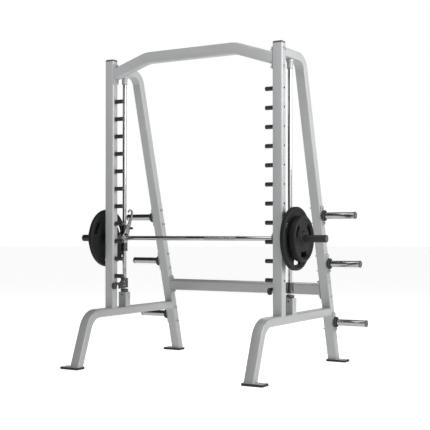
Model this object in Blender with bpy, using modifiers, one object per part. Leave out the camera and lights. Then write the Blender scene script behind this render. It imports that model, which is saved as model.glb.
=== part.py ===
# Smith machine: a welded and bolted tube frame with two guide rods, a counter-rotating hook bar on
# sliding carriages, two peg racks, two safety stops, four plates and six plate storage horns.
# Metres. +X right along the bar, +Y to the back, +Z up. Origin on the floor under the middle.
import math

import bmesh
import bpy
from mathutils import Matrix, Vector

# ---- driving dimensions -------------------------------------------------------------------------
GAP = 0.0003                 # between pieces that touch
RUN = 0.0003                 # radial clearance of a running fit

TUBE_W = 0.074               # frame tube across X
TUBE_D = 0.060               # frame tube across its other side
TUBE_R = 0.008               # corner radius of the tube
TUBE_WALL = 0.003
BEAM_H = 0.080               # height of both crossbars' tube

SIDE_X = 0.700               # centre of each side frame
UPRIGHT_Y = -0.2847          # front face of the uprights
UPRIGHT_TOP = 2.248
RAIL_TOP = 0.410
FRONT_SLOPE = 0.377          # front leg: metres back for each metre up
REAR_SLOPE = 0.269           # rear leg: metres forward for each metre up
FRONT_BEND_R = 0.135         # radii at the middle of the tube
REAR_BEND_R = 0.100
REAR_TOP = 2.224             # top of the rear leg's level stretch

FOOT_SIZE = (0.158, 0.092)
FOOT_IN = 0.045              # foot plate past the side frame's middle, towards the centre
PAD_H = 0.010
PLATE_H = 0.006

PEG_COUNT = 11
PEG_PITCH = 0.130
PEG_FIRST = 0.646
PEG_R = 0.0152
PEG_LEN = 0.067              # out of the upright's inner face
PEG_Y = UPRIGHT_Y + 0.034

ROD_R = 0.015
ROD_Y = UPRIGHT_Y + 0.196
POST_D = 0.058
POST_TOP = 0.519
RING_R = 0.030
RING_H = 0.022
SOCKET_H = 0.064

BAR_R = 0.016
BAR_Y = UPRIGHT_Y + 0.1012
BAR_Z = 0.9285
CARRIAGE_R = 0.025
CARRIAGE_H = 0.199
HOUSING_R = 0.030
HOUSING_X = (0.670, 0.730)

HOOK_X = 0.624               # middle of the hook plate
HOOK_T = 0.010
HOOK_REACH = 0.199           # bar's axis to the seat that takes the peg
HOOK_SEAT_R = 0.0165
HOOK_LEAN = 19.0             # degrees that the seat leans back from upright at rest
SHANK_LEAN = 25.3            # degrees of the hook's shank
HOOK_RIM = 0.0125            # width of the curl's steel round its seat
SHANK_HALF_AT_PIN = 0.0225   # half the shank's width where it leans on the rest pin
REST_PIN_R = 0.009
REST_PIN_Z = 1.002
REST_PIN_TIP_X = 0.612

SLEEVE_R = 0.025
SLEEVE_X = (0.758, 1.0180)
LARGE_R = 0.216
LARGE_X = (0.7723, 0.8063)
SMALL_R = 0.156
SMALL_X = (0.8066, 0.8566)

STOP_R = 0.029
STOP_BUSH_R = 0.0215
STOP_Z = (0.550, 0.624)
STOP_ARM_X = 0.646
STOP_ARM_T = 0.012

HORN_R = 0.025
HORN_LEN = 0.261
HORN_Z = (1.093, 0.741, 0.302)
HORN_PLATE = (0.008, 0.044, 0.145)
FLANGE_R = 0.040
FLANGE_T = 0.018

TOP_BEAM_TOP = 2.285
TOP_BEAM_BEND_X = 0.371
TOP_BEAM_SLOPE = 0.330
REAR_BEAM_Z = 0.550
END_PLATE_T = 0.008

SIDES = {"left": -1, "right": 1}
SEGMENTS = 20                # sides of a round piece
PEG_SIDES = 10

# ---- derived places -----------------------------------------------------------------------------
FOOT_TOP = PAD_H + PLATE_H + 2 * GAP
INNER_X = SIDE_X - TUBE_W / 2
OUTER_X = SIDE_X + TUBE_W / 2
FRONT_ANGLE = math.atan(FRONT_SLOPE)
REAR_ANGLE = math.atan(REAR_SLOPE)
FRONT_LEG_Y = UPRIGHT_Y - 0.4110     # front leg's front face at the foot plate
REAR_LEG_Y = UPRIGHT_Y + 0.91535     # rear leg's front face at the foot plate
STOP_BASE = POST_TOP + 2 * GAP + RING_H
SHANK_DIR = Vector((math.sin(math.radians(SHANK_LEAN)), math.cos(math.radians(SHANK_LEAN))))
REST_PIN_Y = BAR_Y + ((REST_PIN_Z - BAR_Z) * SHANK_DIR.x + SHANK_HALF_AT_PIN + REST_PIN_R
                      + GAP) / SHANK_DIR.y


def rear_face_y(z):
    """Y of the rear leg's sloping front face at a height."""
    return REAR_LEG_Y - REAR_SLOPE * (z - FOOT_TOP)


# ---- scene and materials ------------------------------------------------------------------------
for old in list(bpy.data.objects):
    bpy.data.objects.remove(old, do_unlink=True)

parts = bpy.data.collections.new("smith_machine")
cutters = bpy.data.collections.new("cutters")
for group in (parts, cutters):
    bpy.context.scene.collection.children.link(group)


def new_material(name, colour, roughness, metallic=0.0):
    mat = bpy.data.materials.new(name)
    mat.use_nodes = True
    shader = mat.node_tree.nodes["Principled BSDF"]
    shader.inputs["Base Color"].default_value = (*colour, 1.0)
    shader.inputs["Roughness"].default_value = roughness
    shader.inputs["Metallic"].default_value = metallic
    mat.diffuse_color = (*colour, 1.0)
    return mat


paint = new_material("silver_paint", (0.50, 0.51, 0.52), 0.40)
chrome = new_material("chrome", (0.62, 0.62, 0.63), 0.12, 1.0)
steel = new_material("bare_steel", (0.36, 0.36, 0.37), 0.35, 1.0)
rubber = new_material("black_rubber", (0.025, 0.025, 0.027), 0.75)
plastic = new_material("black_plastic", (0.015, 0.015, 0.016), 0.35)
gloss = new_material("black_gloss", (0.010, 0.010, 0.011), 0.15)
nylon = new_material("nylon", (0.70, 0.70, 0.68), 0.45)
plate_iron = new_material("plate_coat", (0.030, 0.031, 0.032), 0.60)


# ---- helpers ------------------------------------------------------------------------------------
def add_part(name, bm, mat, angle=None):
    """A named node from a bmesh, shaded smooth up to an angle in degrees."""
    mesh = bpy.data.meshes.new(name)
    bm.to_mesh(mesh)
    bm.free()
    obj = bpy.data.objects.new(name, mesh)
    parts.objects.link(obj)
    obj.data.materials.append(mat)
    if angle:
        mesh.shade_smooth()
        mesh.set_sharp_from_angle(angle=math.radians(angle))
    return obj


def add_cutter(name, bm):
    mesh = bpy.data.meshes.new(name)
    bm.to_mesh(mesh)
    bm.free()
    obj = bpy.data.objects.new(name, mesh)
    cutters.objects.link(obj)
    obj.hide_render = True
    obj.display_type = "WIRE"
    return obj


def boolean(obj, other, operation="DIFFERENCE"):
    mod = obj.modifiers.new(other.name, "BOOLEAN")
    mod.operation = operation
    mod.object = other
    mod.solver = "EXACT"


def solidify(obj, thickness):
    mod = obj.modifiers.new("wall", "SOLIDIFY")
    mod.thickness = thickness
    mod.offset = -1.0
    mod.use_even_offset = True


def box_mesh(size, centre, bevel=0.0, segments=2, turn=None, edges=None):
    """A box in a bmesh; edges='z' rounds only the upright corners."""
    bm = bmesh.new()
    bmesh.ops.create_cube(bm, size=1.0)
    bmesh.ops.scale(bm, vec=size, verts=bm.verts)
    if bevel:
        chosen = list(bm.edges)
        if edges == "z":
            chosen = [e for e in bm.edges if abs((e.verts[0].co - e.verts[1].co).z) > size[2] / 2]
        bmesh.ops.bevel(bm, geom=chosen, offset=bevel, segments=segments, profile=0.5, affect="EDGES")
    if turn:
        bmesh.ops.rotate(bm, verts=bm.verts, cent=(0, 0, 0), matrix=turn)
    bmesh.ops.translate(bm, verts=bm.verts, vec=centre)
    return bm


AXIS_TURN = {"x": Matrix.Rotation(math.pi / 2, 3, "Y"), "z": Matrix.Identity(3)}


def rod_mesh(radius, start, end, axis, centre, segments=SEGMENTS, chamfer=0.0):
    """A round bar between two places on the x or z axis through a centre."""
    bm = bmesh.new()
    bmesh.ops.create_cone(bm, cap_ends=True, segments=segments, radius1=radius, radius2=radius,
                          depth=abs(end - start))
    if chamfer:
        rims = [e for e in bm.edges if abs(e.verts[0].co.z - e.verts[1].co.z) < 1e-6]
        bmesh.ops.bevel(bm, geom=rims, offset=chamfer, segments=1, profile=0.5, affect="EDGES")
    bmesh.ops.rotate(bm, verts=bm.verts, cent=(0, 0, 0), matrix=AXIS_TURN[axis])
    place = Vector(centre)
    setattr(place, axis, (start + end) / 2)
    bmesh.ops.translate(bm, verts=bm.verts, vec=place)
    return bm


def turned_mesh(profile, axis, centre, segments=SEGMENTS):
    """A closed ring or cup: profile points are (place along the axis, radius), in order round it."""
    bm = bmesh.new()
    line = [bm.verts.new((radius, 0, along)) for along, radius in profile]
    edges = [bm.edges.new((a, b)) for a, b in zip(line, line[1:] + line[:1]) if a.co.x > 0 or b.co.x > 0]
    bmesh.ops.spin(bm, geom=line + edges, cent=(0, 0, 0), axis=(0, 0, 1), angle=2 * math.pi,
                   steps=segments, use_merge=True)
    bmesh.ops.remove_doubles(bm, verts=bm.verts, dist=1e-6)
    bmesh.ops.recalc_face_normals(bm, faces=bm.faces)
    bmesh.ops.rotate(bm, verts=bm.verts, cent=(0, 0, 0), matrix=AXIS_TURN[axis])
    bmesh.ops.translate(bm, verts=bm.verts, vec=centre)
    return bm


def turn_outboard(bm, s, place):
    """Lays a shape made along Z on the X axis, away from the middle, and moves it."""
    bmesh.ops.rotate(bm, verts=bm.verts, cent=(0, 0, 0), matrix=Matrix.Rotation(s * math.pi / 2, 3, "Y"))
    bmesh.ops.translate(bm, verts=bm.verts, vec=place)
    return bm


def tube_ring(bm, width, depth, radius):
    """Edge loop of a rectangle with cut corners in the XY plane: width along X, depth along Y."""
    loop = []
    for quarter, (sx, sy) in enumerate(((1, 1), (-1, 1), (-1, -1), (1, -1))):
        for step in range(2):
            angle = math.pi / 2 * (quarter + step)
            loop.append(bm.verts.new((sx * (width / 2 - radius) + radius * math.cos(angle),
                                      sy * (depth / 2 - radius) + radius * math.sin(angle), 0)))
    edges = [bm.edges.new((a, b)) for a, b in zip(loop, loop[1:] + loop[:1])]
    return loop, edges


def sweep_tube(width, depth, start, direction, moves):
    """Open skin of a rectangular tube in the YZ plane: moves are ('run', length) or
    ('bend', angle about +X in degrees, radius, steps)."""
    bm = bmesh.new()
    heading = Vector(direction).normalized()
    loop, edges = tube_ring(bm, width, depth, TUBE_R)
    turn = Vector((0, 0, 1)).rotation_difference(heading).to_matrix()
    bmesh.ops.rotate(bm, verts=loop, cent=(0, 0, 0), matrix=turn)
    bmesh.ops.translate(bm, verts=loop, vec=start)
    here = Vector(start)
    for move in moves:
        if move[0] == "run":
            out = bmesh.ops.extrude_edge_only(bm, edges=edges)["geom"]
            loop = [g for g in out if isinstance(g, bmesh.types.BMVert)]
            edges = [g for g in out if isinstance(g, bmesh.types.BMEdge)]
            edges = [e for e in edges if all(v in loop for v in e.verts)]
            bmesh.ops.translate(bm, verts=loop, vec=heading * move[1])
            here = here + heading * move[1]
        else:
            angle, radius, steps = math.radians(move[1]), move[2], move[3]
            side = Vector((1, 0, 0)).cross(heading) * math.copysign(1, angle)
            centre = here + side * radius
            out = bmesh.ops.spin(bm, geom=loop + edges, cent=centre, axis=(1, 0, 0), angle=angle,
                                 steps=steps)["geom_last"]
            loop = [g for g in out if isinstance(g, bmesh.types.BMVert)]
            edges = [g for g in out if isinstance(g, bmesh.types.BMEdge)]
            spin = Matrix.Rotation(angle, 3, "X")
            here = centre + spin @ (here - centre)
            heading = spin @ heading
    face_outwards(bm)
    return bm


def face_outwards(bm):
    """Points an open skin's faces outwards, judged by the face that lies farthest out along X or Z."""
    bmesh.ops.recalc_face_normals(bm, faces=bm.faces)
    for axis in (Vector((1, 0, 0)), Vector((0, 0, 1))):
        outer = max(bm.faces, key=lambda f: f.calc_center_median().dot(axis))
        if abs(outer.normal.dot(axis)) > 0.5:
            if outer.normal.dot(axis) < 0:
                bmesh.ops.reverse_faces(bm, faces=bm.faces)
            return


def flat_mesh(outline, holes, thickness, middle_x):
    """A plate cut from a flat outline in (Y, Z), with its holes, standing across the X axis."""
    curve = bpy.data.curves.new("outline", "CURVE")
    curve.dimensions = "2D"
    curve.fill_mode = "BOTH"
    curve.extrude = thickness / 2
    for ring in [outline] + holes:
        spline = curve.splines.new("POLY")
        spline.points.add(len(ring) - 1)
        for point, (y, z) in zip(spline.points, ring):
            point.co = (y, z, 0, 1)
        spline.use_cyclic_u = True
    obj = bpy.data.objects.new("outline", curve)
    bpy.context.scene.collection.objects.link(obj)
    graph = bpy.context.evaluated_depsgraph_get()
    mesh = bpy.data.meshes.new_from_object(obj.evaluated_get(graph))
    bm = bmesh.new()
    bm.from_mesh(mesh)
    bpy.data.objects.remove(obj, do_unlink=True)
    bpy.data.curves.remove(curve)
    bpy.data.meshes.remove(mesh)
    bmesh.ops.remove_doubles(bm, verts=bm.verts, dist=1e-5)
    bmesh.ops.recalc_face_normals(bm, faces=bm.faces)
    stand = Matrix(((0, 0, 1), (1, 0, 0), (0, 1, 0)))
    bmesh.ops.rotate(bm, verts=bm.verts, cent=(0, 0, 0), matrix=stand)
    bmesh.ops.translate(bm, verts=bm.verts, vec=(middle_x, 0, 0))
    return bm


def arc(cy, cz, radius, start, end, steps):
    """Points of an arc in (Y, Z), angles in degrees from +Y towards +Z."""
    angles = [math.radians(start + (end - start) * i / steps) for i in range(steps + 1)]
    return [(cy + radius * math.cos(a), cz + radius * math.sin(a)) for a in angles]


# ---- side frames --------------------------------------------------------------------------------
def make_upright(side, s):
    start = (s * SIDE_X, UPRIGHT_Y + TUBE_D / 2, RAIL_TOP + GAP)
    bm = sweep_tube(TUBE_W, TUBE_D, start, (0, 0, 1), [("run", UPRIGHT_TOP - start[2])])
    tube = add_part(side + "_upright", bm, paint, 40)
    solidify(tube, TUBE_WALL)
    holes = bmesh.new()
    for k in range(PEG_COUNT):
        hole = rod_mesh(PEG_R + GAP, s * (INNER_X - 0.005), s * (INNER_X + 0.006), "x",
                        (0, PEG_Y, PEG_FIRST + k * PEG_PITCH), segments=PEG_SIDES)
        join_into(holes, hole)
    boolean(tube, add_cutter(side + "_peg_holes", holes))


def join_into(target, extra):
    """Adds one bmesh's solids to another."""
    mesh = bpy.data.meshes.new("joined")
    extra.to_mesh(mesh)
    extra.free()
    target.from_mesh(mesh)
    bpy.data.meshes.remove(mesh)


def make_upright_cap(side, s):
    height = 0.015
    bm = box_mesh((TUBE_W, TUBE_D, 2 * height), (0, 0, 0), bevel=0.0135, segments=2)
    bmesh.ops.bisect_plane(bm, geom=bm.verts[:] + bm.edges[:] + bm.faces[:], plane_co=(0, 0, 0),
                           plane_no=(0, 0, -1), clear_outer=True)
    rim = [e for e in bm.edges if e.is_boundary]
    bmesh.ops.edgeloop_fill(bm, edges=rim)
    bmesh.ops.recalc_face_normals(bm, faces=bm.faces)
    bmesh.ops.translate(bm, verts=bm.verts, vec=(s * SIDE_X, UPRIGHT_Y + TUBE_D / 2, UPRIGHT_TOP + GAP))
    add_part(side + "_upright_cap", bm, plastic, 40)


def make_base_rail(side, s):
    lean = Vector((0, math.sin(FRONT_ANGLE), math.cos(FRONT_ANGLE)))
    turn = 90 - math.degrees(FRONT_ANGLE)
    corner_y = (FRONT_LEG_Y + FRONT_SLOPE * (RAIL_TOP - TUBE_D / 2 - FOOT_TOP)
                + TUBE_D / 2 / math.cos(FRONT_ANGLE))
    corner = Vector((s * SIDE_X, corner_y, RAIL_TOP - TUBE_D / 2))
    tangent = FRONT_BEND_R * math.tan(math.radians(turn / 2))
    leg_len = (corner.z - FOOT_TOP + 0.030) / math.cos(FRONT_ANGLE)
    rail_len = rear_face_y(RAIL_TOP - TUBE_D) + 0.020 - corner.y
    bm = sweep_tube(TUBE_W, TUBE_D, corner - lean * leg_len, lean,
                    [("run", leg_len - tangent), ("bend", -turn, FRONT_BEND_R, 6),
                     ("run", rail_len - tangent)])
    rail = add_part(side + "_base_rail", bm, paint, 40)
    solidify(rail, TUBE_WALL)
    below = box_mesh((0.2, 0.4, 0.1), (s * SIDE_X, FRONT_LEG_Y, FOOT_TOP + GAP - 0.05))
    boolean(rail, add_cutter(side + "_rail_foot_cut", below))
    turn_back = Matrix.Rotation(REAR_ANGLE, 3, "X")
    middle = Vector((s * SIDE_X, rear_face_y(RAIL_TOP) - GAP / math.cos(REAR_ANGLE), RAIL_TOP))
    behind = box_mesh((0.2, 0.1, 0.4), middle + turn_back @ Vector((0, 0.05, 0)), turn=turn_back)
    boolean(rail, add_cutter(side + "_rail_end_cut", behind))


def make_rear_leg(side, s):
    lean = Vector((0, -math.sin(REAR_ANGLE), math.cos(REAR_ANGLE)))
    turn = 90 - math.degrees(REAR_ANGLE)
    level = REAR_TOP - TUBE_D / 2
    corner = Vector((s * SIDE_X, rear_face_y(level) + TUBE_D / 2 / math.cos(REAR_ANGLE), level))
    tangent = REAR_BEND_R * math.tan(math.radians(turn / 2))
    leg_len = (corner.z - FOOT_TOP + 0.030) / math.cos(REAR_ANGLE)
    reach = corner.y - (UPRIGHT_Y + TUBE_D + GAP)
    bm = sweep_tube(TUBE_W, TUBE_D, corner - lean * leg_len, lean,
                    [("run", leg_len - tangent), ("bend", turn, REAR_BEND_R, 7),
                     ("run", reach - tangent)])
    leg = add_part(side + "_rear_leg", bm, paint, 40)
    solidify(leg, TUBE_WALL)
    below = box_mesh((0.2, 0.4, 0.1), (s * SIDE_X, REAR_LEG_Y, FOOT_TOP + GAP - 0.05))
    boolean(leg, add_cutter(side + "_leg_foot_cut", below))


def make_foot(side, s, end, middle_y):
    """Steel plate with a bolt slot outboard of the leg, over a rubber pad."""
    middle_x = s * (SIDE_X - FOOT_IN + FOOT_SIZE[0] / 2)
    inset = 0.004
    plate = box_mesh((FOOT_SIZE[0] - 2 * inset, FOOT_SIZE[1] - 2 * inset, PLATE_H),
                     (middle_x, middle_y, PAD_H + GAP + PLATE_H / 2), bevel=0.008, segments=1, edges="z")
    plate_obj = add_part(f"{side}_{end}_foot_plate", plate, paint, 40)
    pad = box_mesh((*FOOT_SIZE, PAD_H), (middle_x, middle_y, PAD_H / 2), bevel=0.010, segments=1, edges="z")
    pad_obj = add_part(f"{side}_{end}_foot_pad", pad, rubber, 40)
    slot_x = s * (OUTER_X + 0.040)
    slot = box_mesh((0.034, 0.014, 0.08), (slot_x, middle_y, 0.02), bevel=0.0068, segments=2, edges="z")
    cutter = add_cutter(f"{side}_{end}_bolt_slot", slot)
    boolean(plate_obj, cutter)
    boolean(pad_obj, cutter)


def make_peg_rack(side, s):
    """Eleven pegs through the upright's inner wall, carried by a strip inside it."""
    wall_in = INNER_X + TUBE_WALL + GAP
    strip_t = 0.004
    top = PEG_FIRST + (PEG_COUNT - 1) * PEG_PITCH
    strip = box_mesh((strip_t, 0.034, top - PEG_FIRST + 0.05),
                     (s * (wall_in + strip_t / 2), UPRIGHT_Y + TUBE_D / 2, (top + PEG_FIRST) / 2))
    rack = add_part(side + "_peg_rack", strip, plastic, 40)
    pegs = bmesh.new()
    for k in range(PEG_COUNT):
        peg = rod_mesh(PEG_R, s * (INNER_X - PEG_LEN), s * (wall_in + strip_t / 2), "x",
                       (0, PEG_Y, PEG_FIRST + k * PEG_PITCH), segments=PEG_SIDES)
        join_into(pegs, peg)
    boolean(rack, add_cutter(side + "_pegs", pegs), "UNION")


# ---- guide rods and their ends ------------------------------------------------------------------
def make_rod_set(side, s):
    x = s * SIDE_X
    height = POST_TOP - RAIL_TOP - GAP
    post = add_part(side + "_rod_post", box_mesh((TUBE_W, POST_D, height),
                    (x, ROD_Y, RAIL_TOP + GAP + height / 2), bevel=0.004, edges="z"), paint, 40)
    rod_bottom = POST_TOP - 0.060
    bore = rod_mesh(ROD_R + RUN, rod_bottom - GAP, POST_TOP + 0.02, "z", (x, ROD_Y, 0))
    boolean(post, add_cutter(side + "_post_bore", bore))
    leg_under = REAR_TOP - TUBE_D
    rod_top = leg_under - 0.010
    add_part(side + "_guide_rod", rod_mesh(ROD_R, rod_bottom, rod_top, "z", (x, ROD_Y, 0)), chrome, 40)
    top = leg_under - GAP
    inner = ROD_R + RUN
    profile = [(top - SOCKET_H, inner), (top - SOCKET_H, 0.0215), (top - RING_H, 0.0215),
               (top - RING_H, 0.026), (top, 0.026), (top, 0.0), (top - 0.008, 0.0), (top - 0.008, inner)]
    add_part(side + "_rod_socket", turned_mesh(profile, "z", (x, ROD_Y, 0)), paint, 40)
    ring = [(POST_TOP + GAP, inner), (POST_TOP + GAP, RING_R), (POST_TOP + GAP + RING_H, RING_R),
            (POST_TOP + GAP + RING_H, inner)]
    add_part(side + "_bump_ring", turned_mesh(ring, "z", (x, ROD_Y, 0)), rubber, 40)


# ---- safety stops -------------------------------------------------------------------------------
def make_stop(side, s):
    """A barrel on the rod, and an arm whose notch drops over a peg."""
    x = s * SIDE_X
    bush_top = STOP_Z[1] - 0.004
    bush = [(STOP_BASE, ROD_R + RUN), (STOP_BASE, STOP_BUSH_R), (bush_top, STOP_BUSH_R),
            (bush_top, ROD_R + RUN)]
    add_part(side + "_stop_bush", turned_mesh(bush, "z", (x, ROD_Y, 0)), nylon, 40)
    low, high, top = STOP_Z[0] + 0.001, 0.598, STOP_Z[1] - 0.002
    arm_back = ROD_Y - 0.078
    mouth_r = PEG_R + 0.001
    mouth_z = 0.566
    lead_in = 0.002                      # the notch widens by this at its mouth
    nose_y, nose_r = UPRIGHT_Y - 0.009, (high - low) / 2
    step_y = UPRIGHT_Y + 0.070
    outline = ([(arm_back, low), (PEG_Y + mouth_r + lead_in, low)]
               + arc(PEG_Y, mouth_z, mouth_r, 0, 180, 8)
               + [(PEG_Y - mouth_r - lead_in, low)]
               + arc(nose_y, (low + high) / 2, nose_r, 270, 90, 8)
               + [(step_y, high), (step_y + 0.016, top), (arm_back, top)])
    hook = add_part(side + "_safety_stop", flat_mesh(outline, [], STOP_ARM_T, s * STOP_ARM_X), plastic, 40)
    start = Vector((s * (STOP_ARM_X + 0.002), arm_back - 0.002, sum(STOP_Z) / 2))
    end = Vector((s * (SIDE_X - 0.004), ROD_Y - 0.026, start.z))
    turn = Matrix.Rotation(math.atan2(end.y - start.y, end.x - start.x), 3, "Z")
    web = box_mesh(((end - start).length, STOP_ARM_T, STOP_Z[1] - STOP_Z[0] - 0.010), (start + end) / 2, turn=turn)
    boolean(hook, add_cutter(side + "_stop_web", web), "UNION")
    barrel = rod_mesh(STOP_R, STOP_Z[0], STOP_Z[1], "z", (x, ROD_Y, 0), chamfer=0.002)
    boolean(hook, add_cutter(side + "_stop_barrel", barrel), "UNION")
    bore = rod_mesh(STOP_BUSH_R + RUN, STOP_Z[0] - 0.02, STOP_Z[1] + 0.02, "z", (x, ROD_Y, 0))
    boolean(hook, add_cutter(side + "_stop_bore", bore))


# ---- carriages, bar and hooks -------------------------------------------------------------------
def make_carriage(side, s):
    x = s * SIDE_X
    low, high = BAR_Z - CARRIAGE_H / 2, BAR_Z + CARRIAGE_H / 2
    body = add_part(side + "_carriage", rod_mesh(CARRIAGE_R, low, high, "z", (x, ROD_Y, 0)), gloss, 40)
    housing = rod_mesh(HOUSING_R, s * HOUSING_X[0], s * HOUSING_X[1], "x", (0, BAR_Y, BAR_Z))
    boolean(body, add_cutter(side + "_bar_housing", housing), "UNION")
    neck = box_mesh((0.036, ROD_Y - BAR_Y, 0.048), (x, (ROD_Y + BAR_Y) / 2, BAR_Z), bevel=0.004)
    boolean(body, add_cutter(side + "_carriage_neck", neck), "UNION")
    rest = rod_mesh(REST_PIN_R, s * REST_PIN_TIP_X, s * SIDE_X, "x", (0, REST_PIN_Y, REST_PIN_Z), segments=10)
    boolean(body, add_cutter(side + "_hook_rest_pin", rest), "UNION")
    liner_r = ROD_R + RUN + 0.005
    bores = rod_mesh(liner_r + GAP, low - 0.02, high + 0.02, "z", (x, ROD_Y, 0))
    boolean(body, add_cutter(side + "_carriage_bore", bores))
    bearing_r = BAR_R + RUN + 0.006
    cross = rod_mesh(bearing_r + GAP, s * (HOUSING_X[0] - 0.02), s * (HOUSING_X[1] + 0.02), "x",
                     (0, BAR_Y, BAR_Z))
    boolean(body, add_cutter(side + "_bar_bore", cross))
    inset = 0.004
    liner = [(low + inset, ROD_R + RUN), (low + inset, liner_r), (high - inset, liner_r),
             (high - inset, ROD_R + RUN)]
    add_part(side + "_linear_bearing", turned_mesh(liner, "z", (x, ROD_Y, 0)), steel, 40)
    width = HOUSING_X[1] - HOUSING_X[0]
    ring = [(-width / 2, BAR_R + RUN), (-width / 2, bearing_r), (width / 2, bearing_r),
            (width / 2, BAR_R + RUN)]
    add_part(side + "_bar_bearing", turned_mesh(ring, "x", (x, BAR_Y, BAR_Z)), steel, 40)


def make_hook(side, s):
    """A tapering shank from the bar to a curl that drops over a peg from behind."""
    lean = math.radians(HOOK_LEAN)
    seat = Vector((HOOK_REACH * math.sin(lean), HOOK_REACH * math.cos(lean)))
    back = Vector((SHANK_DIR.y, -SHANK_DIR.x))
    outer_r = HOOK_SEAT_R + HOOK_RIM
    hub_r = 0.038
    foot_at, foot_half = 0.045, 0.030    # up the shank, and half its width there
    neck_at, neck_w = 0.170, 0.0175
    tip_drop = 0.010                     # below the seat's middle
    mouth = arc(seat.x, seat.y, HOOK_SEAT_R, -SHANK_LEAN, 180 - SHANK_LEAN, 10)
    crown = arc(seat.x, seat.y, outer_r, 185 - SHANK_LEAN, 15 - SHANK_LEAN, 12)
    tip_in = seat - back * HOOK_SEAT_R - SHANK_DIR * tip_drop
    tip_out = seat - back * outer_r - SHANK_DIR * tip_drop
    front_low = SHANK_DIR * foot_at - back * foot_half
    back_low = SHANK_DIR * foot_at + back * foot_half
    neck_front = seat + back * HOOK_SEAT_R - SHANK_DIR * 0.020
    neck_back = SHANK_DIR * neck_at + back * (seat.dot(back) + HOOK_SEAT_R + neck_w)
    hub_from = math.degrees(math.atan2(back_low.y, back_low.x)) - 8
    hub_to = math.degrees(math.atan2(front_low.y, front_low.x)) + 8 - 360
    hub = arc(0, 0, hub_r, hub_from, hub_to, 20)
    ring = ([tuple(neck_front)] + mouth + [tuple(tip_in), tuple(tip_out)] + crown
            + [tuple(neck_back), tuple(back_low)] + hub + [tuple(front_low)])
    outline = [(BAR_Y + y, BAR_Z + z) for y, z in ring]
    bore = arc(BAR_Y, BAR_Z, BAR_R + GAP, 0, 360 - 360 / SEGMENTS, SEGMENTS - 1)
    add_part(side + "_hook", flat_mesh(outline, [bore], HOOK_T, s * HOOK_X), steel, 40)


def make_bar():
    end = SLEEVE_X[1] - 0.040
    add_part("bar", rod_mesh(BAR_R, -end, end, "x", (0, BAR_Y, BAR_Z)), chrome, 40)


def make_sleeve(side, s):
    """Plate sleeve: a flange, a long barrel and a closed end, bored to take the bar's end."""
    bore = BAR_R + GAP
    collar_r = 0.036
    collar_t = 0.014
    deep = SLEEVE_X[1] - 0.039
    profile = [(SLEEVE_X[0], bore), (SLEEVE_X[0], collar_r), (SLEEVE_X[0] + collar_t, collar_r),
               (SLEEVE_X[0] + collar_t, SLEEVE_R), (SLEEVE_X[1] - 0.003, SLEEVE_R),
               (SLEEVE_X[1], SLEEVE_R - 0.003), (SLEEVE_X[1], 0.0), (deep, 0.0), (deep, bore)]
    bm = turn_outboard(turned_mesh(profile, "z", (0, 0, 0)), s, (0, BAR_Y, BAR_Z))
    add_part(side + "_sleeve", bm, plastic, 40)


def make_plate(side, s, size, radius, span, slot_r, slot_half, slot_arc):
    """A weight plate, dished on its outboard face, with three arc-shaped grips."""
    bore = SLEEVE_R + 0.0008
    low, high = span
    web = low + (high - low) * 0.55
    middle = (low + high) / 2
    hub_r = 0.055
    rim_in = radius - 0.022
    profile = [(low, bore), (low, radius), (high, radius), (high, rim_in),
               (web, rim_in - 0.010), (web, hub_r + 0.012), (high, hub_r), (high, bore)]
    bm = turned_mesh([(along - middle, r) for along, r in profile], "z", (0, 0, 0), 28)
    turn_outboard(bm, s, (s * middle, BAR_Y, BAR_Z))
    plate = add_part(f"{side}_{size}_plate", bm, plate_iron, 40)
    slots = bmesh.new()
    for centre in (32, 152, 272):
        cut = bmesh.new()
        corners = [(slot_r - slot_half, -0.05), (slot_r + slot_half, -0.05),
                   (slot_r + slot_half, 0.05), (slot_r - slot_half, 0.05)]
        face = cut.faces.new([cut.verts.new((x, r, 0)) for r, x in corners])
        out = bmesh.ops.spin(cut, geom=[face] + face.edges[:] + face.verts[:], cent=(0, 0, 0),
                             axis=(1, 0, 0), angle=math.radians(slot_arc), steps=3)
        bmesh.ops.recalc_face_normals(cut, faces=cut.faces)
        start = Matrix.Rotation(math.radians(centre - slot_arc / 2), 3, "X")
        bmesh.ops.rotate(cut, verts=cut.verts, cent=(0, 0, 0), matrix=start)
        bmesh.ops.translate(cut, verts=cut.verts, vec=(s * middle, BAR_Y, BAR_Z))
        join_into(slots, cut)
    boolean(plate, add_cutter(f"{side}_{size}_grips", slots))


# ---- storage horns ------------------------------------------------------------------------------
def make_horn(side, s, level, z):
    """Chromed tube on a bolted plate that lies on the rear leg's outer face."""
    leg_turn = Matrix.Rotation(REAR_ANGLE, 3, "X")
    y = rear_face_y(z) + TUBE_D / 2 / math.cos(REAR_ANGLE)
    root = OUTER_X + GAP
    plate_t, plate_w, plate_h = HORN_PLATE
    plate = box_mesh((plate_t, plate_w, plate_h), (s * (root + plate_t / 2), y, z), bevel=0.002,
                     segments=1, turn=leg_turn)
    horn = add_part(f"{side}_{level}_horn", plate, chrome, 40)
    tip = root + HORN_LEN
    barrel = rod_mesh(HORN_R, s * (root + plate_t / 2), s * tip, "x", (0, y, z))
    boolean(horn, add_cutter(f"{side}_{level}_horn_barrel", barrel), "UNION")
    core = rod_mesh(HORN_R - TUBE_WALL, s * (root - 0.02), s * (tip - TUBE_WALL), "x", (0, y, z))
    boolean(horn, add_cutter(f"{side}_{level}_horn_core", core))
    start = root + plate_t + GAP
    ring = [(start, HORN_R + GAP), (start, FLANGE_R), (start + FLANGE_T, FLANGE_R),
            (start + FLANGE_T, HORN_R + GAP)]
    bm = turn_outboard(turned_mesh(ring, "z", (0, 0, 0)), s, (0, y, z))
    add_part(f"{side}_{level}_horn_flange", bm, rubber, 40)


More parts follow.
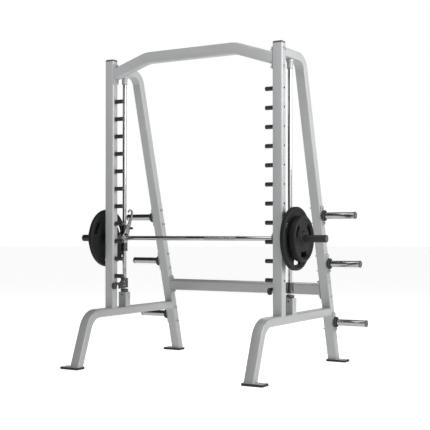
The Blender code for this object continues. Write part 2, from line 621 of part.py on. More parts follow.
# ---- crossbars ----------------------------------------------------------------------------------
def make_top_crossbar():
    """Cranked tube between plates that bolt to the uprights' inner faces."""
    end_x = INNER_X - GAP - END_PLATE_T / 2
    middle_z = TOP_BEAM_TOP - BEAM_H / 2
    end_z = middle_z - TOP_BEAM_SLOPE * (end_x - TOP_BEAM_BEND_X)
    route = [(-end_x, end_z), (-TOP_BEAM_BEND_X, middle_z), (TOP_BEAM_BEND_X, middle_z), (end_x, end_z)]
    bm = bmesh.new()
    loop, edges = tube_ring(bm, BEAM_H, TUBE_D, TUBE_R)
    upright = Matrix(((0, 0, 1), (0, 1, 0), (-1, 0, 0)))
    bmesh.ops.rotate(bm, verts=loop, cent=(0, 0, 0), matrix=upright)
    bend = math.atan(TOP_BEAM_SLOPE)
    bend_r = 0.20
    tangent = bend_r * math.tan(bend / 2)
    slope_len = math.hypot(route[1][0] - route[0][0], route[1][1] - route[0][1]) - tangent
    bmesh.ops.rotate(bm, verts=loop, cent=(0, 0, 0), matrix=Matrix.Rotation(-bend, 3, "Y"))
    heading = Vector((math.cos(bend), 0, math.sin(bend)))
    here = Vector((route[0][0], UPRIGHT_Y + TUBE_D / 2, route[0][1]))
    bmesh.ops.translate(bm, verts=loop, vec=here)
    for length, angle in ((slope_len, bend), (2 * (TOP_BEAM_BEND_X - tangent), bend), (slope_len, 0)):
        out = bmesh.ops.extrude_edge_only(bm, edges=edges)["geom"]
        loop = [g for g in out if isinstance(g, bmesh.types.BMVert)]
        edges = [g for g in out if isinstance(g, bmesh.types.BMEdge) and all(v in loop for v in g.verts)]
        bmesh.ops.translate(bm, verts=loop, vec=heading * length)
        here = here + heading * length
        if angle:
            centre = here + Vector((0, 1, 0)).cross(heading) * bend_r
            out = bmesh.ops.spin(bm, geom=loop + edges, cent=centre, axis=(0, 1, 0), angle=angle,
                                 steps=3)["geom_last"]
            loop = [g for g in out if isinstance(g, bmesh.types.BMVert)]
            edges = [g for g in out if isinstance(g, bmesh.types.BMEdge)]
            spin = Matrix.Rotation(angle, 3, "Y")
            here = centre + spin @ (here - centre)
            heading = spin @ heading
    face_outwards(bm)
    beam = add_part("top_crossbar", bm, paint, 40)
    solidify(beam, TUBE_WALL)
    for side, s in SIDES.items():
        plate = box_mesh((END_PLATE_T, TUBE_D - 0.004, 0.150),
                         (s * (INNER_X - GAP - END_PLATE_T / 2), UPRIGHT_Y + TUBE_D / 2, end_z), bevel=0.001,
                         segments=1)
        boolean(beam, add_cutter(side + "_top_end_plate", plate), "UNION")
        inside = box_mesh((0.04, 0.2, 0.3), (s * (INNER_X - GAP + 0.02), UPRIGHT_Y, end_z))
        boolean(beam, add_cutter(side + "_top_end_trim", inside))
        open_end(beam, side + "_top_vent", s, UPRIGHT_Y + TUBE_D / 2, end_z)


def open_end(beam, name, s, y, z):
    """Round hole through an end plate, into the tube behind it."""
    vent = rod_mesh(0.014, s * (INNER_X - 0.030), s * (INNER_X + 0.010), "x", (0, y, z), segments=12)
    boolean(beam, add_cutter(name, vent))


def make_rear_crossbar():
    """Straight tube, square to the rear legs, between plates bolted to their inner faces."""
    turn = Matrix.Rotation(REAR_ANGLE, 3, "X")
    y = rear_face_y(REAR_BEAM_Z) + TUBE_D / 2 / math.cos(REAR_ANGLE)
    end_x = INNER_X - GAP - END_PLATE_T / 2
    bm = bmesh.new()
    loop, edges = tube_ring(bm, BEAM_H, TUBE_D, TUBE_R)
    bmesh.ops.rotate(bm, verts=loop, cent=(0, 0, 0), matrix=Matrix(((0, 0, 1), (0, 1, 0), (-1, 0, 0))))
    bmesh.ops.rotate(bm, verts=loop, cent=(0, 0, 0), matrix=turn)
    bmesh.ops.translate(bm, verts=loop, vec=(-end_x, y, REAR_BEAM_Z))
    out = bmesh.ops.extrude_edge_only(bm, edges=edges)["geom"]
    far = [g for g in out if isinstance(g, bmesh.types.BMVert)]
    bmesh.ops.translate(bm, verts=far, vec=(2 * end_x, 0, 0))
    face_outwards(bm)
    beam = add_part("rear_crossbar", bm, paint, 40)
    solidify(beam, TUBE_WALL)
    for side, s in SIDES.items():
        plate = box_mesh((END_PLATE_T, TUBE_D - 0.004, 0.140),
                         (s * (INNER_X - GAP - END_PLATE_T / 2), y, REAR_BEAM_Z), bevel=0.001, segments=1,
                         turn=turn)
        boolean(beam, add_cutter(side + "_rear_end_plate", plate), "UNION")
        open_end(beam, side + "_rear_vent", s, y, REAR_BEAM_Z)


# ---- the machine --------------------------------------------------------------------------------
for name, sign in SIDES.items():
    make_upright(name, sign)
    make_upright_cap(name, sign)
    make_base_rail(name, sign)
    make_rear_leg(name, sign)
    make_foot(name, sign, "front", FRONT_LEG_Y + 0.0265)
    make_foot(name, sign, "rear", REAR_LEG_Y + 0.0301)
    make_peg_rack(name, sign)
    make_rod_set(name, sign)
    make_stop(name, sign)
    make_carriage(name, sign)
    make_hook(name, sign)
    make_sleeve(name, sign)
    make_plate(name, sign, "large", LARGE_R, LARGE_X, 0.160, 0.019, 34)
    make_plate(name, sign, "small", SMALL_R, SMALL_X, 0.108, 0.018, 46)
    for rank, height in zip(("upper", "middle", "lower"), HORN_Z):
        make_horn(name, sign, rank, height)
make_bar()
make_top_crossbar()
make_rear_crossbar()
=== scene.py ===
import math

import bmesh
import bpy
from mathutils import Matrix, Vector


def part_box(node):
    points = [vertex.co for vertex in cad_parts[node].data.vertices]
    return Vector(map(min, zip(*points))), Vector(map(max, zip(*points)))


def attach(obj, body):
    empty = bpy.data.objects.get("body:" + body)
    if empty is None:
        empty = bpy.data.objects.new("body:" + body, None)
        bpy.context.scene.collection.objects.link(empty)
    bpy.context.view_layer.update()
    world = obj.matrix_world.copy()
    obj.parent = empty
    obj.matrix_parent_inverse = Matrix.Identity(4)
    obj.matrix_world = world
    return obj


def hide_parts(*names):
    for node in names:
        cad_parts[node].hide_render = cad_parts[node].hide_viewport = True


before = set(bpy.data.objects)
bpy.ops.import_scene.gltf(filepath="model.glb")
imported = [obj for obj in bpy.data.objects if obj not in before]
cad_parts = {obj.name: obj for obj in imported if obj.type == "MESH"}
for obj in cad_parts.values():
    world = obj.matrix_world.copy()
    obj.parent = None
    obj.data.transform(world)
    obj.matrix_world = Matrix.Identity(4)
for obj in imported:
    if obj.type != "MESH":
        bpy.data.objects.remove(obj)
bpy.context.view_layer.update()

scene = bpy.context.scene
sides = {"left": -1, "right": 1}
faceType, vertType = bmesh.types.BMFace, bmesh.types.BMVert
acrossX, acrossY, upZ = Vector((1, 0, 0)), Vector((0, 1, 0)), Vector((0, 0, 1))
print("frame loaded:", len(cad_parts), "nodes")


# Shader maths is written as ordinary sums on these.
class Signal:
    def __init__(self, finish, socket):
        self.finish, self.socket = finish, socket

    def join(self, operation, first, second):
        made = self.finish.node("ShaderNodeMath", {"operation": operation}, {0: first, 1: second})
        return Signal(self.finish, made.outputs[0])

    def __add__(self, other):
        return self.join("ADD", self, other)

    def __radd__(self, other):
        return self.join("ADD", other, self)

    def __sub__(self, other):
        return self.join("SUBTRACT", self, other)

    def __rsub__(self, other):
        return self.join("SUBTRACT", other, self)

    def __mul__(self, other):
        return self.join("MULTIPLY", self, other)

    def __rmul__(self, other):
        return self.join("MULTIPLY", other, self)

    def sine(self):
        return self.join("SINE", self, 0.0)

    def over(self, other):
        return self.join("MAXIMUM", self, other)


class Finish:
    def __init__(self, name, metallic, roughness, **fixed):
        self.mat = bpy.data.materials.new(name)
        self.mat.use_nodes = True
        self.tree = self.mat.node_tree
        self.shader = self.tree.nodes["Principled BSDF"]
        self.shader.inputs["Metallic"].default_value = metallic
        self.shader.inputs["Roughness"].default_value = roughness
        for socket, value in fixed.items():
            self.shader.inputs[socket.replace("_", " ")].default_value = value
        self.place = self.node("ShaderNodeTexCoord").outputs["Object"]

    # A node of any type, its settings first, then the values or links of its sockets.
    def node(self, kind, settings=None, inputs=None):
        made = self.tree.nodes.new(kind)
        for key, value in (settings or {}).items():
            if key == "stops":
                ramp = made.color_ramp
                while len(ramp.elements) < len(value):
                    ramp.elements.new(0.5)
                for element, (position, shade) in zip(ramp.elements, value):
                    element.position, element.color = position, (shade, shade, shade, 1)
            else:
                setattr(made, key, value)
        for key, value in (inputs or {}).items():
            source = value.socket if isinstance(value, Signal) else value
            if isinstance(source, bpy.types.NodeSocket):
                self.tree.links.new(source, made.inputs[key])
            else:
                made.inputs[key].default_value = source
        return made

    def noise(self, scale, detail=2.0, stretch=(1, 1, 1), roughness=0.5):
        moved = self.node("ShaderNodeMapping", None, {"Vector": self.place, "Scale": stretch}).outputs[0]
        made = self.node("ShaderNodeTexNoise", None,
                         {"Vector": moved, "Scale": scale, "Detail": detail, "Roughness": roughness})
        return Signal(self, made.outputs[0])

    def grains(self, scale):
        made = self.node("ShaderNodeTexVoronoi", None, {"Vector": self.place, "Scale": scale})
        return Signal(self, made.outputs["Distance"])

    # How strongly a value stands out between two levels, from 0 to 1.
    def spread(self, value, low, high):
        made = self.node("ShaderNodeMapRange", {"interpolation_type": "SMOOTHSTEP"},
                         {"Value": value, "From Min": low, "From Max": high})
        return Signal(self, made.outputs[0])

    def axis(self, letter):
        made = self.node("ShaderNodeSeparateXYZ", None, {0: self.place})
        return Signal(self, made.outputs["XYZ".index(letter)])

    # 1 on outer edges and corners, 0 on flat faces.
    def edges(self, low, high):
        made = self.node("ShaderNodeNewGeometry")
        return self.spread(Signal(self, made.outputs["Pointiness"]), low, high)

    def blend(self, amount, first, second):
        made = self.node("ShaderNodeMix", {"data_type": "RGBA"}, {0: amount, 6: first, 7: second})
        return made.outputs[2]

    def colour(self, source):
        if isinstance(source, tuple):
            self.shader.inputs["Base Color"].default_value = source
        else:
            self.tree.links.new(source, self.shader.inputs["Base Color"])

    def rough(self, value):
        self.tree.links.new(value.socket, self.shader.inputs["Roughness"])

    def bump(self, height, distance, strength=1.0):
        made = self.node("ShaderNodeBump", None,
                         {"Height": height, "Distance": distance, "Strength": strength})
        self.tree.links.new(made.outputs[0], self.shader.inputs["Normal"])


def grey(level, warm=0.0):
    return (level * (1 + warm), level, level * (1 - warm), 1)


# The low tone is painted shade towards the bottom; the dust tone is dust near the floor.
paintLook = {"base": (0.352, 0.362, 0.366, 1), "deep": (0.325, 0.334, 0.338, 1),
             "edge": (0.45, 0.46, 0.465, 1), "dust": (0.28, 0.277, 0.27, 1), "low": (0.262, 0.268, 0.271, 1),
             "peel": 620, "fleck": 2600, "roughness": 0.34}


# Silver-grey powder coat: orange peel, metal flecks, thin edges, a little dust near the floor, and painted
# shade that darkens it towards the bottom; a depth under 1 makes a darker copy, which is painted shade too.
def makePaint(name, depth):
    finish = Finish(name, 0.15, paintLook["roughness"], Coat_Weight=0.12, Coat_Roughness=0.18)
    shade = {key: tuple(level * depth for level in paintLook[key][:3]) + (1,)
             for key in ("base", "deep", "edge", "dust", "low")}
    mottle = finish.spread(finish.noise(5.0, 3), 0.35, 0.7)
    fleck = finish.spread(finish.noise(paintLook["fleck"], 1), 0.60, 0.74)
    tone = finish.blend(mottle * 0.7, shade["base"], shade["deep"])
    tone = finish.blend(fleck * 0.35, tone, shade["edge"])
    tone = finish.blend(finish.edges(0.52, 0.60) * 0.45, tone, shade["edge"])
    height = finish.axis("Z")
    # Painted shade: the coat is blended darker towards the bottom of the machine, up to 1.9 m.
    tone = finish.blend((1 - finish.spread(height, 0.0, 1.9)) * 0.55, tone, shade["low"])
    low = 1 - finish.spread(height, 0.02, 0.30)
    dirt = low * finish.spread(finish.noise(38, 4, (1, 1, 0.35)), 0.45, 0.75)
    tone = finish.blend(dirt * 0.40, tone, shade["dust"])
    finish.colour(tone)
    peel = finish.noise(paintLook["peel"], 2)
    finish.rough(paintLook["roughness"] + mottle * 0.06 + dirt * 0.22 + finish.noise(22, 3) * 0.05)
    finish.bump(peel * 0.7 + finish.noise(60, 1) * 0.5, 0.00022, 0.5)
    return finish.mat


chromeLook = {"base": (0.36, 0.363, 0.370, 1), "smudge": (0.30, 0.303, 0.310, 1), "roughness": 0.10}


# Bright plating with fine polishing lines along the tube and a few finger marks.
def makeChrome(name, lines):
    finish = Finish(name, 1.0, chromeLook["roughness"])
    smudge = finish.spread(finish.noise(16, 4), 0.52, 0.72)
    polish = finish.noise(900, 2, lines)
    finish.colour(finish.blend(smudge * 0.5, chromeLook["base"], chromeLook["smudge"]))
    finish.rough(chromeLook["roughness"] + smudge * 0.10 + polish * 0.05)
    finish.bump(polish, 0.00003, 0.35)
    return finish.mat


knurlLook = {"pitch": 0.0016, "bands": ((0.075, 0.33),), "depth": 0.00012}


# The bar: chrome with two knurled hand grips, cut as crossed helices.
def makeBarChrome(centre, radius):
    finish = Finish("barChrome", 1.0, chromeLook["roughness"])
    moved = finish.node("ShaderNodeVectorMath", {"operation": "SUBTRACT"},
                        {0: finish.place, 1: (0, centre.y, centre.z)}).outputs[0]
    apart = finish.node("ShaderNodeSeparateXYZ", None, {0: moved})
    along, across, up = (Signal(finish, apart.outputs[k]) for k in range(3))
    turn = up.join("ARCTAN2", up, across) * radius
    rate = 2 * math.pi / knurlLook["pitch"]
    ridges = ((along + turn) * rate).sine().over(((along - turn) * rate).sine())
    reach = along.join("ABSOLUTE", along, 0.0)
    grip = 0.0
    for low, high in knurlLook["bands"]:
        grip = finish.spread(reach, low, low + 0.002) * (1 - finish.spread(reach, high, high + 0.002)) + grip
    smudge = finish.spread(finish.noise(16, 4), 0.50, 0.72)
    worn = grip * (0.5 - ridges * 0.35) + smudge * 0.2
    finish.colour(finish.blend(worn, chromeLook["base"], (0.20, 0.20, 0.205, 1)))
    finish.rough(chromeLook["roughness"] + grip * 0.16 + smudge * 0.08)
    finish.bump(ridges * grip, knurlLook["depth"], 0.8)
    return finish.mat


steelLook = {"base": (0.24, 0.242, 0.248, 1), "dark": (0.16, 0.162, 0.168, 1), "roughness": 0.36}


# Bare steel with a brushed grain; the stretch sets which way the grain runs.
def makeSteel(name, grain, base, dark, roughness):
    finish = Finish(name, 0.9, roughness)
    brushed = finish.noise(420, 3, grain)
    cloud = finish.spread(finish.noise(30, 4), 0.4, 0.7)
    tone = finish.blend(cloud * 0.5 + brushed * 0.3, base, dark)
    finish.colour(finish.blend(finish.edges(0.53, 0.62) * 0.5, tone, grey(0.55)))
    finish.rough(roughness + brushed * 0.14 + cloud * 0.08)
    finish.bump(brushed, 0.00008, 0.5)
    return finish.mat


# Dark moulded or dipped finishes differ in base, grain size, grain height and gloss.
def makeDark(name, base, worn, roughness, grain, height, coat=0.0, dust=0.25, edgeShine=0.35):
    finish = Finish(name, 0.0, roughness, Coat_Weight=coat, Coat_Roughness=0.10)
    cloud = finish.spread(finish.noise(24, 4), 0.42, 0.72)
    speck = finish.noise(grain, 2)
    tone = finish.blend(cloud * dust, grey(base), grey(base * 1.7, 0.03))
    # Paler edges in the worn tone, as strong as edgeShine sets: partly wear, partly painted highlight.
    tone = finish.blend(finish.edges(0.53, 0.64) * edgeShine, tone, grey(worn))
    finish.colour(tone)
    finish.rough(roughness + cloud * 0.10 + speck * 0.08)
    finish.bump(speck, height, 0.6)
    return finish.mat


# Cast plates under a satin coat: pebbled grain, a few scuffs of wear, and paler rims that are painted
# highlight.
def makePlateCoat():
    finish = Finish("plateCoat", 0.0, 0.48, Specular_IOR_Level=0.17)
    pebble = finish.grains(360)
    cloud = finish.spread(finish.noise(14, 4), 0.40, 0.72)
    scuff = finish.spread(finish.noise(90, 5, (1, 1, 1), 0.7), 0.60, 0.78)
    worn = finish.edges(0.51, 0.58)
    tone = finish.blend(cloud * 0.45, (0.0070, 0.0073, 0.0075, 1), (0.0110, 0.0114, 0.0114, 1))
    # Paler rims and edges are painted highlight; the scattered scuffs are wear.
    tone = finish.blend(worn * 0.45 + scuff * 0.12, tone, (0.030, 0.031, 0.032, 1))
    finish.colour(tone)
    finish.rough(0.50 + cloud * 0.12 + pebble * 0.10 - worn * 0.08)
    finish.bump(pebble * 0.8 + finish.noise(120, 2) * 0.6, 0.0003, 0.55)
    return finish.mat


def lowOf(node):
    return Vector(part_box(node)[0])


def highOf(node):
    return Vector(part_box(node)[1])


def middleOf(node):
    return (lowOf(node) + highOf(node)) / 2


# How far a piece of one side lies from the middle, inboard and outboard.
def spanOf(node):
    return sorted((abs(lowOf(node).x), abs(highOf(node).x)))


# Main places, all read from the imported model.
upSize = highOf("right_upright") - lowOf("right_upright")
tube = {"middle": middleOf("right_upright").x, "wide": upSize.x, "deep": upSize.y, "corner": 0.009,
        "cornerSteps": 5, "front": lowOf("right_upright").y, "top": highOf("right_upright").z,
        "railTop": highOf("right_base_rail").z, "bead": 0.0028}
outerX, innerX = tube["middle"] + tube["wide"] / 2, tube["middle"] - tube["wide"] / 2
uprightY = tube["front"] + tube["deep"] / 2
barAt = Vector((0, middleOf("bar").y, middleOf("bar").z))
barRadius = (highOf("bar").z - lowOf("bar").z) / 2
rodAt = middleOf("right_guide_rod")
rodRadius = (highOf("right_guide_rod").x - lowOf("right_guide_rod").x) / 2

mats = {
    "paint": makePaint("silverPowderCoat", 1.0),
    # A darker copy of the powder coat, made as painted shade for the rear crossbar.
    "paintShadedRear": makePaint("silverPowderCoatShadedRear", 0.80),
    "chromeUp": makeChrome("rodChrome", (1, 1, 0.04)),
    "chromeAcross": makeChrome("hornChrome", (0.04, 1, 1)),
    "barChrome": makeBarChrome(barAt, barRadius),
    "hookSteel": makeSteel("hookSteel", (1, 1, 0.06), **steelLook),
    "bolt": makeSteel("zincBolt", (1, 1, 1), grey(0.42), grey(0.30), 0.32),
    "rubber": makeDark("blackRubber", 0.011, 0.035, 0.66, 900, 0.00025, dust=0.55),
    "plastic": makeDark("blackPlastic", 0.006, 0.030, 0.38, 1300, 0.0001),
    "cap": makeDark("capPlastic", 0.055, 0.10, 0.42, 1300, 0.0001),
    "gloss": makeDark("blackEnamel", 0.010, 0.04, 0.16, 500, 0.00004, coat=0.6, dust=0.15),
    "sleeve": makeDark("sleeveCoat", 0.0035, 0.015, 0.52, 700, 0.00012, dust=0.15, edgeShine=0.2),
    "nylon": makeDark("paleNylon", 0.52, 0.62, 0.40, 500, 0.0001, dust=0.0, edgeShine=0.2),
    "plate": makePlateCoat(),
}
print("finishes made:", len(mats))


def faceOut(bm):
    bmesh.ops.recalc_face_normals(bm, faces=bm.faces[:])


# Turns a closed shape into a piece of the machine.
def addPiece(name, bm, look, body, nodes=(), smooth=32):
    bmesh.ops.remove_doubles(bm, verts=bm.verts[:], dist=2e-6)
    faceOut(bm)
    mesh = bpy.data.meshes.new(name)
    bm.to_mesh(mesh)
    bm.free()
    mesh.shade_smooth()
    mesh.set_sharp_from_angle(angle=math.radians(smooth))
    piece = bpy.data.objects.new(name, mesh)
    scene.collection.objects.link(piece)
    mesh.materials.append(mats[look])
    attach(piece, body)
    if nodes:
        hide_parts(*nodes)
    return piece


def putInto(target, *extras):
    for extra in extras:
        mesh = bpy.data.meshes.new("joined")
        extra.to_mesh(mesh)
        extra.free()
        target.from_mesh(mesh)
        bpy.data.meshes.remove(mesh)
    return target


def shift(bm, place):
    bmesh.ops.translate(bm, verts=bm.verts[:], vec=place)
    return bm


def turned(bm, matrix):
    bmesh.ops.rotate(bm, verts=bm.verts[:], cent=(0, 0, 0), matrix=matrix)
    return bm


# Stands a shape made along Z on another direction, at a place.
def aim(bm, direction, place=(0, 0, 0)):
    direction = Vector(direction)
    if direction.normalized().z < -0.9999:
        turned(bm, Matrix.Rotation(math.pi, 3, "X"))
    else:
        turned(bm, upZ.rotation_difference(direction).to_matrix())
    return shift(bm, place)


# Stands a shape made along Z on the bar's axis, outwards on one side.
def onBar(bm, s):
    return aim(bm, (s, 0, 0), barAt)


def roundEdges(bm, edges, size, steps=2):
    bmesh.ops.bevel(bm, geom=edges, offset=size, offset_type="OFFSET", segments=steps, profile=0.5,
                    affect="EDGES", clamp_overlap=True, material=-1)


def roundCorners(bm, verts, size, steps):
    bmesh.ops.bevel(bm, geom=verts, offset=size, offset_type="OFFSET", segments=steps, profile=0.5,
                    affect="VERTICES", clamp_overlap=True, material=-1)


def isLevel(edge, slack=1e-6):
    return abs(edge.verts[0].co.z - edge.verts[1].co.z) < slack


def sharpEdges(bm, degrees=40):
    return [e for e in bm.edges if len(e.link_faces) == 2 and e.calc_face_angle() > math.radians(degrees)]


# A flat rectangle with round corners, lying on the floor plane.
def roundedFace(wide, deep, corner, steps):
    bm = bmesh.new()
    bmesh.ops.create_grid(bm, x_segments=1, y_segments=1, size=0.5)
    bmesh.ops.scale(bm, vec=(wide, deep, 1), verts=bm.verts[:])
    roundCorners(bm, bm.verts[:], corner, steps)
    return bm


def pullUp(bm, faces, move):
    grown = bmesh.ops.extrude_face_region(bm, geom=faces)["geom"]
    bmesh.ops.translate(bm, verts=[g for g in grown if isinstance(g, vertType)], vec=move)
    return [g for g in grown if isinstance(g, faceType)]


# A slab with round upright corners and softened rims, standing on the floor plane.
def slab(wide, deep, high, corner, edge, steps=4):
    bm = roundedFace(wide, deep, corner, steps)
    pullUp(bm, bm.faces[:], (0, 0, high))
    faceOut(bm)
    roundEdges(bm, [e for e in sharpEdges(bm) if isLevel(e)], edge)
    return bm


def block(size, edge, steps=3):
    bm = bmesh.new()
    bmesh.ops.create_cube(bm, size=1.0)
    bmesh.ops.scale(bm, vec=size, verts=bm.verts[:])
    roundEdges(bm, bm.edges[:], edge, steps)
    return bm


def spinRound(bm, turns):
    bmesh.ops.spin(bm, geom=bm.verts[:] + bm.edges[:], cent=(0, 0, 0), axis=(0, 0, 1), angle=2 * math.pi,
                   steps=turns, use_merge=True)
    bmesh.ops.remove_doubles(bm, verts=bm.verts[:], dist=2e-6)


# A solid turned on the Z axis: corners are (radius, height) in order round its section.
def lathe(corners, rounding, turns=48, steps=3):
    bm = bmesh.new()
    points = [bm.verts.new((radius, 0, height)) for radius, height in corners]
    bm.faces.new(points)
    roundCorners(bm, [v for v in points if v.co.x > 1e-6], rounding, steps)
    bmesh.ops.delete(bm, geom=bm.faces[:], context="FACES_ONLY")
    onAxis = [e for e in bm.edges if all(v.co.x < 1e-6 for v in e.verts)]
    bmesh.ops.delete(bm, geom=onAxis, context="EDGES")
    spinRound(bm, turns)
    faceOut(bm)
    return bm


def roundBar(radius, low, high, edge, turns=48, steps=3):
    return lathe([(0, low), (radius, low), (radius, high), (0, high)], edge, turns, steps)


def ring(inner, outer, low, high, edge, turns=48):
    return lathe([(inner, low), (outer, low), (outer, high), (inner, high)], edge, turns)


# A closed tube that runs and bends in one plane. The section is (along the bend axis, other way, corner).
def sweepTube(section, start, heading, bendAxis, moves):
    bm = roundedFace(section[0], section[1], section[2], tube["cornerSteps"])
    axis, along = Vector(bendAxis), Vector(heading).normalized()
    turned(bm, Matrix((axis, along.cross(axis), along)).transposed())
    here = Vector(start)
    shift(bm, here)
    tip = bm.faces[:][0]
    for move in moves:
        if move[0] == "run":
            tip = pullUp(bm, [tip], along * move[1])[0]
            here = here + along * move[1]
            continue
        angle, radius, steps = math.radians(move[1]), move[2], move[3]
        centre = here + axis.cross(along) * math.copysign(radius, angle)
        last = bmesh.ops.spin(bm, geom=[tip], cent=centre, axis=axis, angle=angle, steps=steps)["geom_last"]
        bmesh.ops.delete(bm, geom=[tip], context="FACES_ONLY")
        tip = next(g for g in last if isinstance(g, faceType))
        spun = Matrix.Rotation(angle, 3, axis)
        here, along = centre + spun @ (here - centre), spun @ along
    faceOut(bm)
    return bm


def cutOff(bm, place, outward):
    bmesh.ops.bisect_plane(bm, geom=bm.verts[:] + bm.edges[:] + bm.faces[:], dist=1e-6, plane_co=place,
                           plane_no=outward, clear_outer=True)
    bmesh.ops.edgeloop_fill(bm, edges=[e for e in bm.edges if e.is_boundary])
    faceOut(bm)


weldLook = {"cuts": 34, "ripple": 0.0005, "pitch": 0.0072, "rows": 7}


# A rippled fillet of weld round a tube's end, made as loops bridged one to the next.
def weldBead(wide, deep, corner, size, normal, place, spin=None):
    bm = bmesh.new()
    loops = []
    for row in range(weldLook["rows"]):
        angle = 2 * math.pi * row / weldLook["rows"]
        out, up = size * math.cos(angle), size * math.sin(angle)
        loop = roundedFace(wide + 2 * out, deep + 2 * out, corner + out, 4)
        longEdges = [e for e in loop.edges if e.calc_length() > 0.02]
        bmesh.ops.subdivide_edges(loop, edges=longEdges, cuts=weldLook["cuts"], use_grid_fill=False)
        bmesh.ops.delete(loop, geom=loop.faces[:], context="FACES_ONLY")
        shift(loop, (0, 0, up))
        before = len(bm.edges)
        putInto(bm, loop)
        bm.edges.ensure_lookup_table()
        loops.append([bm.edges[k] for k in range(before, len(bm.edges))])
    for first, second in zip(loops, loops[1:] + loops[:1]):
        bmesh.ops.bridge_loops(bm, edges=first + second)
    faceOut(bm)
    bm.normal_update()
    for v in bm.verts:
        wave = math.sin((abs(v.co.x) + abs(v.co.y)) * 2 * math.pi / weldLook["pitch"])
        v.co += v.normal * weldLook["ripple"] * wave
    if spin is not None:
        turned(bm, spin)
        return shift(bm, place)
    return aim(bm, normal, place)


boltShape = {"across": 0.0098, "high": 0.0058, "washer": 0.0118, "thick": 0.0016, "shank": 0.0050,
             "thread": 0.0120}


# A hexagon head on a washer, or a nut with the thread's end standing out of it.
def boltHead(place, direction, scale=1.0, nut=False):
    washer = roundBar(boltShape["washer"], -0.0004, boltShape["thick"], 0.0003, 24, 1)
    top = boltShape["thick"] + boltShape["high"]
    head = bmesh.new()
    bmesh.ops.create_cone(head, cap_ends=True, segments=6, radius1=boltShape["across"],
                          radius2=boltShape["across"], depth=boltShape["high"])
    shift(head, (0, 0, boltShape["thick"] + boltShape["high"] / 2))
    roundEdges(head, [e for e in head.edges if min(v.co.z for v in e.verts) > top - 1e-5], 0.0011, 2)
    putInto(washer, head)
    if nut:
        thread = roundBar(boltShape["shank"], boltShape["thick"], top + boltShape["thread"], 0.0008, 16, 1)
        putInto(washer, thread)
    bmesh.ops.scale(washer, vec=(scale, scale, scale), verts=washer.verts[:])
    return aim(washer, direction, place)


# A low round screw head with a hexagon socket.
def socketScrew(place, direction, radius=0.006, high=0.004):
    head = lathe([(0, -0.0006), (radius, -0.0006), (radius, high), (0, high)], radius * 0.22, 28, 3)
    crown = max(head.faces, key=lambda f: f.calc_center_median().z).calc_center_median().z
    socket = bmesh.new()
    bmesh.ops.create_cone(socket, cap_ends=True, segments=6, radius1=radius * 0.45, radius2=radius * 0.45,
                          depth=0.0012)
    shift(socket, (0, 0, crown + 0.0001))
    return aim(putInto(head, socket), direction, place)


legs = {"frontSlope": 0.377, "rearSlope": 0.269, "frontBend": 0.135, "rearBend": 0.100,
        "footTop": highOf("right_front_foot_plate").z + 0.0003,
        "frontFootY": tube["front"] - 0.4110, "rearFootY": tube["front"] + 0.91535, "rearTop": 2.224}
frontAngle, rearAngle = math.atan(legs["frontSlope"]), math.atan(legs["rearSlope"])
leanBack = Matrix.Rotation(rearAngle, 3, "X")


# Front face of the rear leg's slope at a height, and the middle of the leg there.
def rearFace(z):
    return legs["rearFootY"] - legs["rearSlope"] * (z - legs["footTop"])


def rearMiddle(z):
    return rearFace(z) + tube["deep"] / 2 / math.cos(rearAngle)


section = (tube["wide"], tube["deep"], tube["corner"])
halfDeep = tube["deep"] / 2


